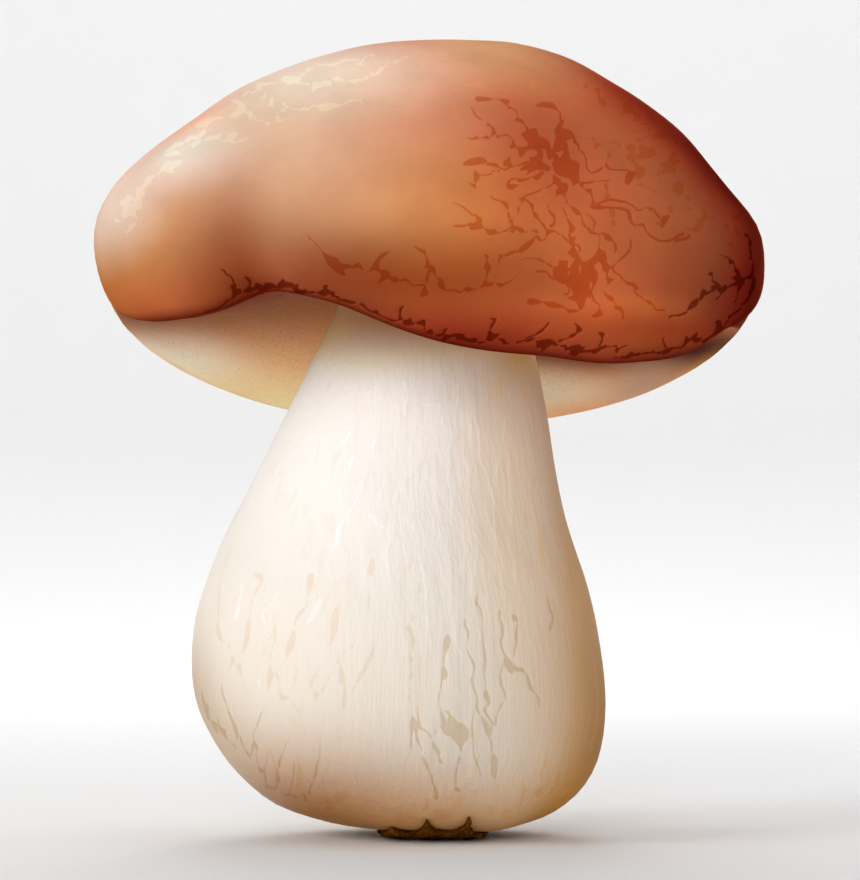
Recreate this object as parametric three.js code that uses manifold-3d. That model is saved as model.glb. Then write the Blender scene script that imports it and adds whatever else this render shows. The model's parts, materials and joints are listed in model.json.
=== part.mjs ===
// King bolete, standing: a thick pale stem that swells towards its foot, a rounded brown cap with a
// wavy margin, the spongy pore layer under the cap, and the crust of soil that clings to the foot.
//
// Millimetres, +Z up. The origin is the middle of the flat face that the mushroom stands on. Angles
// round the mushroom are in degrees from +X (its right), so that 90 is its back and 270 its front.
import * as THREE from "three";
import { mergeVertices } from "three/addons/utils/BufferGeometryUtils.js";
import Module from "manifold-3d";

const wasm = await Module();
wasm.setup();

// ---- Driving dimensions ----
const CAP_RADIUS = 58.5;
const CROWN_HEIGHT = 139.2;
const BROW_HEIGHT = 101; // where the cap is widest
const MARGIN_HEIGHT = 89.4; // the lowest line of the cap's rim, at its left and right
const NECK_HEIGHT = 97; // where the stem runs into the pore layer
const NECK_RADIUS = 14.6;
const BULB_RADIUS = 36.2;
const BULB_HEIGHT = 28; // where the stem is thickest
const FOOT_HEIGHT = 1.3; // the sole of the foot, over the flat face that it stands on
const CRUST_GAP = 0.3; // clearance between the foot and its crust of soil
const CRUST_REACH = 1.5; // how far the crust's outside stands off the foot

const COLUMNS = 64; // faces round the mushroom
const STEM_RINGS = 24;
const PORE_RINGS = 9;
const MARGIN_RINGS = 5;
const CAP_RINGS = 16;

// ---- Outlines, as [radius, height] before the mushroom is bent out of round ----
const along = (from, to, share) => from + (to - from) * share;

// The stem from the sole to the neck: shares of the bulb's radius, then shares of the way up.
const FOOT_OUTLINE = [
  [0, 0],
  [0.27, 0],
  [0.52, 0.055],
  [0.72, 0.18],
  [0.865, 0.38],
  [0.965, 0.68],
].map(([out, up]) => new THREE.Vector2(out * BULB_RADIUS, along(FOOT_HEIGHT, BULB_HEIGHT, up)));

const SHAFT_OUTLINE = [
  [1, 0],
  [0.95, 0.18],
  [0.775, 0.44],
  [0.62, 0.68],
  [0.46, 0.92],
].map(([out, up]) => new THREE.Vector2(out * BULB_RADIUS, along(BULB_HEIGHT, NECK_HEIGHT, up)));

const NECK = new THREE.Vector2(NECK_RADIUS, NECK_HEIGHT);

// The pore layer: a groove round the neck, then a cushion that swells below the cap.
const PORE_OUTLINE = [
  [0.06, 0.1],
  [0.25, -0.24],
  [0.5, -0.62],
  [0.75, -0.8],
  [0.92, -0.72],
].map(([out, up]) => new THREE.Vector2(
  along(NECK_RADIUS, 0.83 * CAP_RADIUS, out),
  NECK_HEIGHT + up * (NECK_HEIGHT - MARGIN_HEIGHT),
));

// The rolled margin, from where the pores stop to the lowest line of the rim.
const RIM_EDGE = new THREE.Vector2(0.815 * CAP_RADIUS, MARGIN_HEIGHT + 1.3);
const RIM = new THREE.Vector2(0.855 * CAP_RADIUS, MARGIN_HEIGHT);

// The cap's skin, from the rim over the brow to the crown: shares of the cap's radius and height.
const CAP_OUTLINE = [
  [0.925, 0.028],
  [0.97, 0.075],
  [0.995, 0.17],
  [1, 0.26],
  [0.985, 0.365],
  [0.91, 0.505],
  [0.822, 0.622],
  [0.637, 0.8],
  [0.485, 0.9],
  [0.308, 0.97],
  [0.15, 0.997],
  [0, 1],
].map(([out, up]) => new THREE.Vector2(out * CAP_RADIUS, along(MARGIN_HEIGHT, CROWN_HEIGHT, up)));

// ---- What bends the round outline into a grown mushroom ----
const degrees = THREE.MathUtils.degToRad;
const bell = (distance, reach) => Math.exp(-((distance / reach) ** 2));
const ease = (value, from, to) => THREE.MathUtils.smoothstep(value, from, to);

// The angle from one direction to another, in degrees, from -180 to 180.
function turn(angle, towards) {
  return THREE.MathUtils.euclideanModulo(angle - towards + 180, 360) - 180;
}

// The margin hangs low at the back, flaring on either side of it, and a little at the front. It lifts
// into a notch left of the front and sags right of it.
const BACK_DROP = 16.8;
const BACK_FLARE = 2.2;
const FRONT_DROP = 5;
const MARGIN_WAVES = [
  { at: 208, reach: 16, lift: -0.5 },
  { at: 239, reach: 17, lift: 7.6 },
  { at: 312, reach: 32, lift: -5.8 },
];

// How far round to the back an angle is, from 0 at the sides to 1.
function backShare(angle) {
  const back = Math.max(0, Math.sin(degrees(angle + 2.5)));
  return (1.2 * back * back) / (back + 0.2);
}

// 1 on the two flanks of the back, and 0 right behind and over the whole front.
function backFlank(angle) {
  return Math.max(0, Math.sin(degrees(angle))) * Math.abs(Math.cos(degrees(angle))) * 2;
}

function marginLift(angle) {
  const front = Math.max(0, -Math.sin(degrees(angle)));
  let lift = -BACK_DROP * backShare(angle) - FRONT_DROP * front * front;
  for (const wave of MARGIN_WAVES) lift += wave.lift * bell(turn(angle, wave.at), wave.reach);
  return lift;
}

// Lobes and hollows of the cap's side. Each pushes the skin out by its depth, round a middle that is
// given by its angle and height.
const SWELLINGS = [
  { name: "left lobe", at: 207, reach: 18, height: 104, span: 12, depth: 2.2 },
  { name: "left shoulder", at: 180, reach: 40, height: 116, span: 9, depth: 1.4 },
  { name: "fold", at: 232, reach: 12, height: 98, span: 17, depth: -6 },
  { name: "front belly", at: 285, reach: 34, height: 104, span: 18, depth: 1.5 },
  { name: "back belly", at: 92, reach: 48, height: 106, span: 14, depth: 3 },
  { name: "right shoulder", at: 0, reach: 40, height: 118, span: 7, depth: -1.5 },
  { name: "right hollow", at: 334, reach: 17, height: 99, span: 5, depth: -2.5 },
];

function swelling(angle, height) {
  let out = 0;
  for (const s of SWELLINGS) {
    out += s.depth * bell(turn(angle, s.at), s.reach) * bell(height - s.height, s.span);
  }
  return out;
}

// The stem's middle line strays from the upright: [height, right, back].
const STEM_LEAN = new THREE.CatmullRomCurve3([
  new THREE.Vector3(1.2, 0, 0),
  new THREE.Vector3(-1.6, 0, 6),
  new THREE.Vector3(-3.8, 0, 16),
  new THREE.Vector3(-5.9, 0.5, 32),
  new THREE.Vector3(-5.6, 1, 52),
  new THREE.Vector3(-3.4, 1, 68),
  new THREE.Vector3(-0.8, 0.5, 84),
  new THREE.Vector3(0.5, 0, NECK_HEIGHT),
]);
const LEAN_STEPS = STEM_LEAN.getSpacedPoints(60);

function stemMiddle(height) {
  const above = LEAN_STEPS.findIndex((point) => point.z >= height);
  if (above < 0) return LEAN_STEPS.at(-1);
  if (above === 0) return LEAN_STEPS[0];
  const [low, high] = [LEAN_STEPS[above - 1], LEAN_STEPS[above]];
  return low.clone().lerp(high, (height - low.z) / (high.z - low.z));
}

const STEM_FLATNESS = 0.05; // the stem is this much slimmer from front to back than from side to side
const CAP_FLATNESS = 0.06;
const CROWN_LEAN = new THREE.Vector2(3.2, 3.5); // how far the crown lies right and back of the rim

function bend(point, isStem) {
  const angle = THREE.MathUtils.euclideanModulo(THREE.MathUtils.radToDeg(Math.atan2(point.y, point.x)), 360);
  const radius = Math.hypot(point.x, point.y);
  if (isStem) {
    const middle = stemMiddle(point.z);
    point.y *= 1 - STEM_FLATNESS;
    point.x += middle.x;
    point.y += middle.y;
    return;
  }
  const { x: sideways, y: backwards } = stemMiddle(NECK_HEIGHT);
  const under = ease(radius, NECK_RADIUS, 0.78 * CAP_RADIUS);
  const over = 1 - ease(point.z, BROW_HEIGHT - 4, CROWN_HEIGHT);
  const rise = marginLift(angle) * Math.min(under, over);
  const flare = BACK_FLARE * backFlank(angle) * (1 - ease(point.z, MARGIN_HEIGHT, BROW_HEIGHT + 6));
  const push = (swelling(angle, point.z) + flare) * under;
  const scale = radius > 0 ? (radius + push) / radius : 1;
  const stray = point.z < NECK_HEIGHT + 2 ? 1 - ease(radius, NECK_RADIUS, 0.5 * CAP_RADIUS) : 0;
  point.x = point.x * scale + CROWN_LEAN.x * ease(point.z, CROWN_HEIGHT - 7, CROWN_HEIGHT);
  point.x += sideways * stray;
  point.y = point.y * scale * (1 - CAP_FLATNESS) + CROWN_LEAN.y * ease(point.z, BROW_HEIGHT, CROWN_HEIGHT);
  point.y += backwards * stray;
  point.z += rise;
}

// ---- Solids ----
// Points at even steps along a smooth line through the outline's points, without its first.
function steps(outline, count) {
  return new THREE.SplineCurve(outline).getSpacedPoints(count).slice(1);
}

// One vertex per place, and no triangles that have shrunk to a line.
function welded(geometry) {
  geometry.deleteAttribute("normal");
  geometry.deleteAttribute("uv");
  const merged = mergeVertices(geometry, 1e-3);
  const corners = [...merged.getIndex().array];
  const isFace = (a, b, c) => a !== b && b !== c && c !== a;
  const faces = [];
  for (let i = 0; i < corners.length; i += 3) {
    const face = corners.slice(i, i + 3);
    if (isFace(...face)) faces.push(...face);
  }
  merged.setIndex(faces);
  merged.computeVertexNormals();
  return merged;
}

// A closed surface of revolution about +Z from a profile that starts and ends on the axis, bent into
// its grown shape. The first rows of the profile belong to the stem.
function grown(profile, stemRows) {
  const geometry = new THREE.LatheGeometry(profile, COLUMNS).rotateX(Math.PI / 2);
  const position = geometry.getAttribute("position");
  const point = new THREE.Vector3();
  for (let i = 0; i < position.count; i += 1) {
    point.fromBufferAttribute(position, i);
    bend(point, i % profile.length < stemRows);
    position.setXYZ(i, point.x, point.y, point.z);
  }
  return welded(geometry);
}

const STEM_PROFILE = [FOOT_OUTLINE[0], ...steps([...FOOT_OUTLINE, ...SHAFT_OUTLINE, NECK], STEM_RINGS)];

function mushroomGeometry() {
  const pores = steps([NECK, ...PORE_OUTLINE, RIM_EDGE], PORE_RINGS);
  const margin = steps([RIM_EDGE, RIM, ...CAP_OUTLINE.slice(0, 3)], MARGIN_RINGS);
  const cap = steps(CAP_OUTLINE.slice(2), CAP_RINGS);
  return grown([...STEM_PROFILE, ...pores, ...margin, ...cap], STEM_PROFILE.length);
}

// The lower end of the foot with its skin pushed out evenly, for the crust to be cut with.
function footMould(push) {
  const rows = STEM_PROFILE.filter((point) => point.y < 0.7 * BULB_HEIGHT);
  const lid = new THREE.Vector2(0, rows.at(-1).y);
  const geometry = grown([...rows, lid], rows.length + 1);
  const position = geometry.getAttribute("position");
  const normal = geometry.getAttribute("normal");
  const point = new THREE.Vector3();
  const outwards = new THREE.Vector3();
  for (let i = 0; i < position.count; i += 1) {
    point.fromBufferAttribute(position, i);
    point.addScaledVector(outwards.fromBufferAttribute(normal, i), push);
    position.setXYZ(i, point.x, point.y, point.z);
  }
  return solid(geometry);
}

function solid(geometry) {
  const { position } = geometry.attributes;
  const mesh = { numProp: 3, vertProperties: new Float32Array(position.array), triVerts: new Uint32Array(geometry.index.array) };
  return new wasm.Manifold(new wasm.Mesh(mesh));
}

function fromSolid(manifold) {
  const { vertProperties, triVerts } = manifold.getMesh();
  const geometry = new THREE.BufferGeometry();
  geometry.setAttribute("position", new THREE.Float32BufferAttribute(vertProperties, 3));
  geometry.setIndex([...triVerts]);
  geometry.computeVertexNormals();
  return geometry;
}

// The crust's ragged edge, seen from above: an oval with tongues that lick up the foot.
const CRUST_OVAL = new THREE.Vector2(10, 10.5);
const CRUST_HEIGHT = 9;
const TONGUES = [
  { at: 268, reach: 5.5, out: 14 },
  { at: 284, reach: 4, out: 14 },
  { at: 20, reach: 7, out: 5 },
  { at: 68, reach: 6, out: 9 },
  { at: 121, reach: 8, out: 12 },
];

function crustEdge(angle) {
  const a = degrees(angle);
  let out = 1 / Math.hypot(Math.cos(a) / CRUST_OVAL.x, Math.sin(a) / CRUST_OVAL.y);
  out += 0.45 * Math.sin(7 * a) + 0.35 * Math.sin(13 * a + 1) + 0.25 * Math.sin(22 * a + 2);
  for (const tongue of TONGUES) out += tongue.out * Math.exp(-Math.abs(turn(angle, tongue.at)) / tongue.reach);
  return new THREE.Vector2(out * Math.cos(a), out * Math.sin(a));
}

function crustGeometry() {
  const edge = Array.from({ length: 144 }, (_, i) => crustEdge(i * 2.5));
  const slab = new THREE.ExtrudeGeometry(new THREE.Shape(edge), { depth: CRUST_HEIGHT, bevelEnabled: false });
  const shell = footMould(CRUST_REACH).subtract(footMould(CRUST_GAP));
  return fromSolid(solid(welded(slab)).intersect(shell));
}

// ---- The object ----
function piece(name, geometry, colour, roughness) {
  const mesh = new THREE.Mesh(geometry, new THREE.MeshStandardMaterial({ color: colour, roughness, metalness: 0 }));
  mesh.name = name;
  return mesh;
}

const bolete = new THREE.Group();
bolete.add(piece("mushroom", mushroomGeometry(), 0xc07a4a, 0.45));
bolete.add(piece("soil_crust", crustGeometry(), 0x4d2c08, 0.95));

export default bolete;
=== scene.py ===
"""King bolete: one grown mushroom, standing on the crust of soil that clings to its foot.

Metres, +Z up, the front towards -Y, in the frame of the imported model. Sizes that are written in
millimetres are multiplied by MM.
"""
import json
import math

import bpy
import numpy as np
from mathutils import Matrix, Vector, noise

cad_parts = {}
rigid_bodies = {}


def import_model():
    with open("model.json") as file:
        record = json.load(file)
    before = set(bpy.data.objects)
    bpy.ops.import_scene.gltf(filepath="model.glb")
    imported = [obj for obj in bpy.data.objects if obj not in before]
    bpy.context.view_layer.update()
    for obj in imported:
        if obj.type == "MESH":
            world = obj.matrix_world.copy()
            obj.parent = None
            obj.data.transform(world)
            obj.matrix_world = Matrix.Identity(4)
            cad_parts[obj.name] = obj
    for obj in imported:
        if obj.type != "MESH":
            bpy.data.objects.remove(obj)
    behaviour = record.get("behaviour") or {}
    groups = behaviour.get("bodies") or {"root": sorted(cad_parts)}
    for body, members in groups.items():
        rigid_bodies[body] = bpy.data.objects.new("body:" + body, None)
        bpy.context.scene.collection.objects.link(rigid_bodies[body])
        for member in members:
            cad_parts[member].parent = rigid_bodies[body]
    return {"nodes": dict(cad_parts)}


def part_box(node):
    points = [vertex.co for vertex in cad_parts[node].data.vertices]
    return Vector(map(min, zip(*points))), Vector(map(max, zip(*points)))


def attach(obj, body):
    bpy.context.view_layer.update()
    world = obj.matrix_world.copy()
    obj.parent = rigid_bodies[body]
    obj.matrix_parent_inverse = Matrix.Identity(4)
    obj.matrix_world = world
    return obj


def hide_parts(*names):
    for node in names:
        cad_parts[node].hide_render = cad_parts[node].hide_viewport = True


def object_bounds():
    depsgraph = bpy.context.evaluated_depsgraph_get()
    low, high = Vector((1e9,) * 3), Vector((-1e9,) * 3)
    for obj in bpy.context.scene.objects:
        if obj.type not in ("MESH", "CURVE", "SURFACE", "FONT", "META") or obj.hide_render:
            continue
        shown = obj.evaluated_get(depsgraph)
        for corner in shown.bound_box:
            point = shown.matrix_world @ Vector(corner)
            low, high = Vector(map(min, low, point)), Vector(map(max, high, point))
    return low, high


MM = 0.001

bpy.ops.object.select_all(action="SELECT")
bpy.ops.object.delete()
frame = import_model()
bpy.context.view_layer.update()
cad_box = [list(corner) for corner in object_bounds()]
bpy.ops.object.select_all(action="DESELECT")

# ---- The mushroom's rings, as the solid is built: counted from the middle of the sole ----
NECK_RING = 24
PORE_EDGE_RING = 33
RIM_RING = 35
CROWN_RING = 54

# ---- How far from a mark's edge its distance is kept, in millimetres ----
MARK_REACH = 2.0

# ---- The crust of soil, in millimetres ----
CRUMB_SIZE = 0.35
CRUST_GAP = 0.15
CRUST_THICKNESS = 0.9

# ---- The studio, in metres ----
BOWL_RADIUS = 1.9
BOWL_HEIGHT = 3.2
MIDDLE_HEIGHT = 0.07

# ---- Small moves of a surface: the middle, the move and the reach, in millimetres ----
BOLETE_NUDGES = [
    ((-45, -5, 119), (0.4, 0, -0.5), 20),
    ((-35, -4, 127), (0.3, 0, -0.45), 18),
    ((-24, -4, 132), (0.3, 0, -0.65), 15),
    ((2, -4, 138), (0, 0, -0.5), 12),
    ((29, -4, 131), (-0.2, 0, -0.5), 18),
    ((43, -4, 121), (0.35, 0, 0.35), 15),
    ((51, -4, 112), (-0.45, 0, -0.45), 12),
    ((57, -4, 95), (0.85, 0, 0), 18),
    ((54.5, 4, 90), (-1.6, 0, 0), 8),
    ((-56.5, -4, 94), (1.0, 0, 0), 20),
    ((-35, -32, 91), (0, 0, -0.95), 11),
    ((-25, -41, 94), (0, 0, -1.25), 13),
    ((-12, -49.5, 88), (0, 0, 1.4), 15),
    ((9.5, -50, 83.5), (0, 0, -0.75), 14),
    ((29.5, -42.5, 81.5), (0, 0, -0.6), 14),
    ((44, -33, 86), (0, 0, -1.5), 13),
    ((23, 0, 58), (-0.3, 0, 0), 16),
    ((28.5, 0, 11.5), (0.5, 0, 0), 12),
    ((-35, 0, 12), (0.6, 0, 0), 10),
    ((-28, 0, 5), (-0.8, 0, -0.2), 8),
    ((13, -14, 2.5), (0, 0, -0.9), 9),
    ((-14, -14, 2), (0, 0, 0.5), 9),
]
CRUST_NUDGES = [
    ((3.4, -18, 1.5), (0, 4.5, 0), 3.8),
    ((5.5, -20, 3), (0.5, 1.0, 0), 1.6),
    ((6.9, -22, 4), (0, -1.6, 0), 1.6),
    ((7.9, -14.5, 1), (1.4, -3.7, 0), 3.4),
    ((-7.5, -11, 1), (-0.3, -7.0, 0), 6.5),
]
CRUST_ACROSS = (
    (-10.9, -1.0, 0.2, 1.1, 1.9, 2.8, 3.7, 4.5, 5.5, 6.7, 14.2),
    (-9.6, -0.6, 0.0, 0.5, 1.5, 4.9, 5.9, 6.5, 7.1, 9.0, 10.6),
)
CRUST_BACK = ((-23.4, -10.5, 0, 18.4), (-23.4, -14.5, 0, 18.4))

# ---- Marks laid on from the front ----
# In millimetres to the right and up, as they fall on a plane through AIM when laid on from
# LAYING_POINT: a patch is an outline, a hole is left out of a patch, and a line is a chain of right,
# up and half its width. The points were read off and changed to millimetres by a small script.
LAYING_POINT = Vector((0.0, -641.7, 50.0)) * MM
AIM = Vector((0.0, 0.0, 69.125)) * MM

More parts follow.
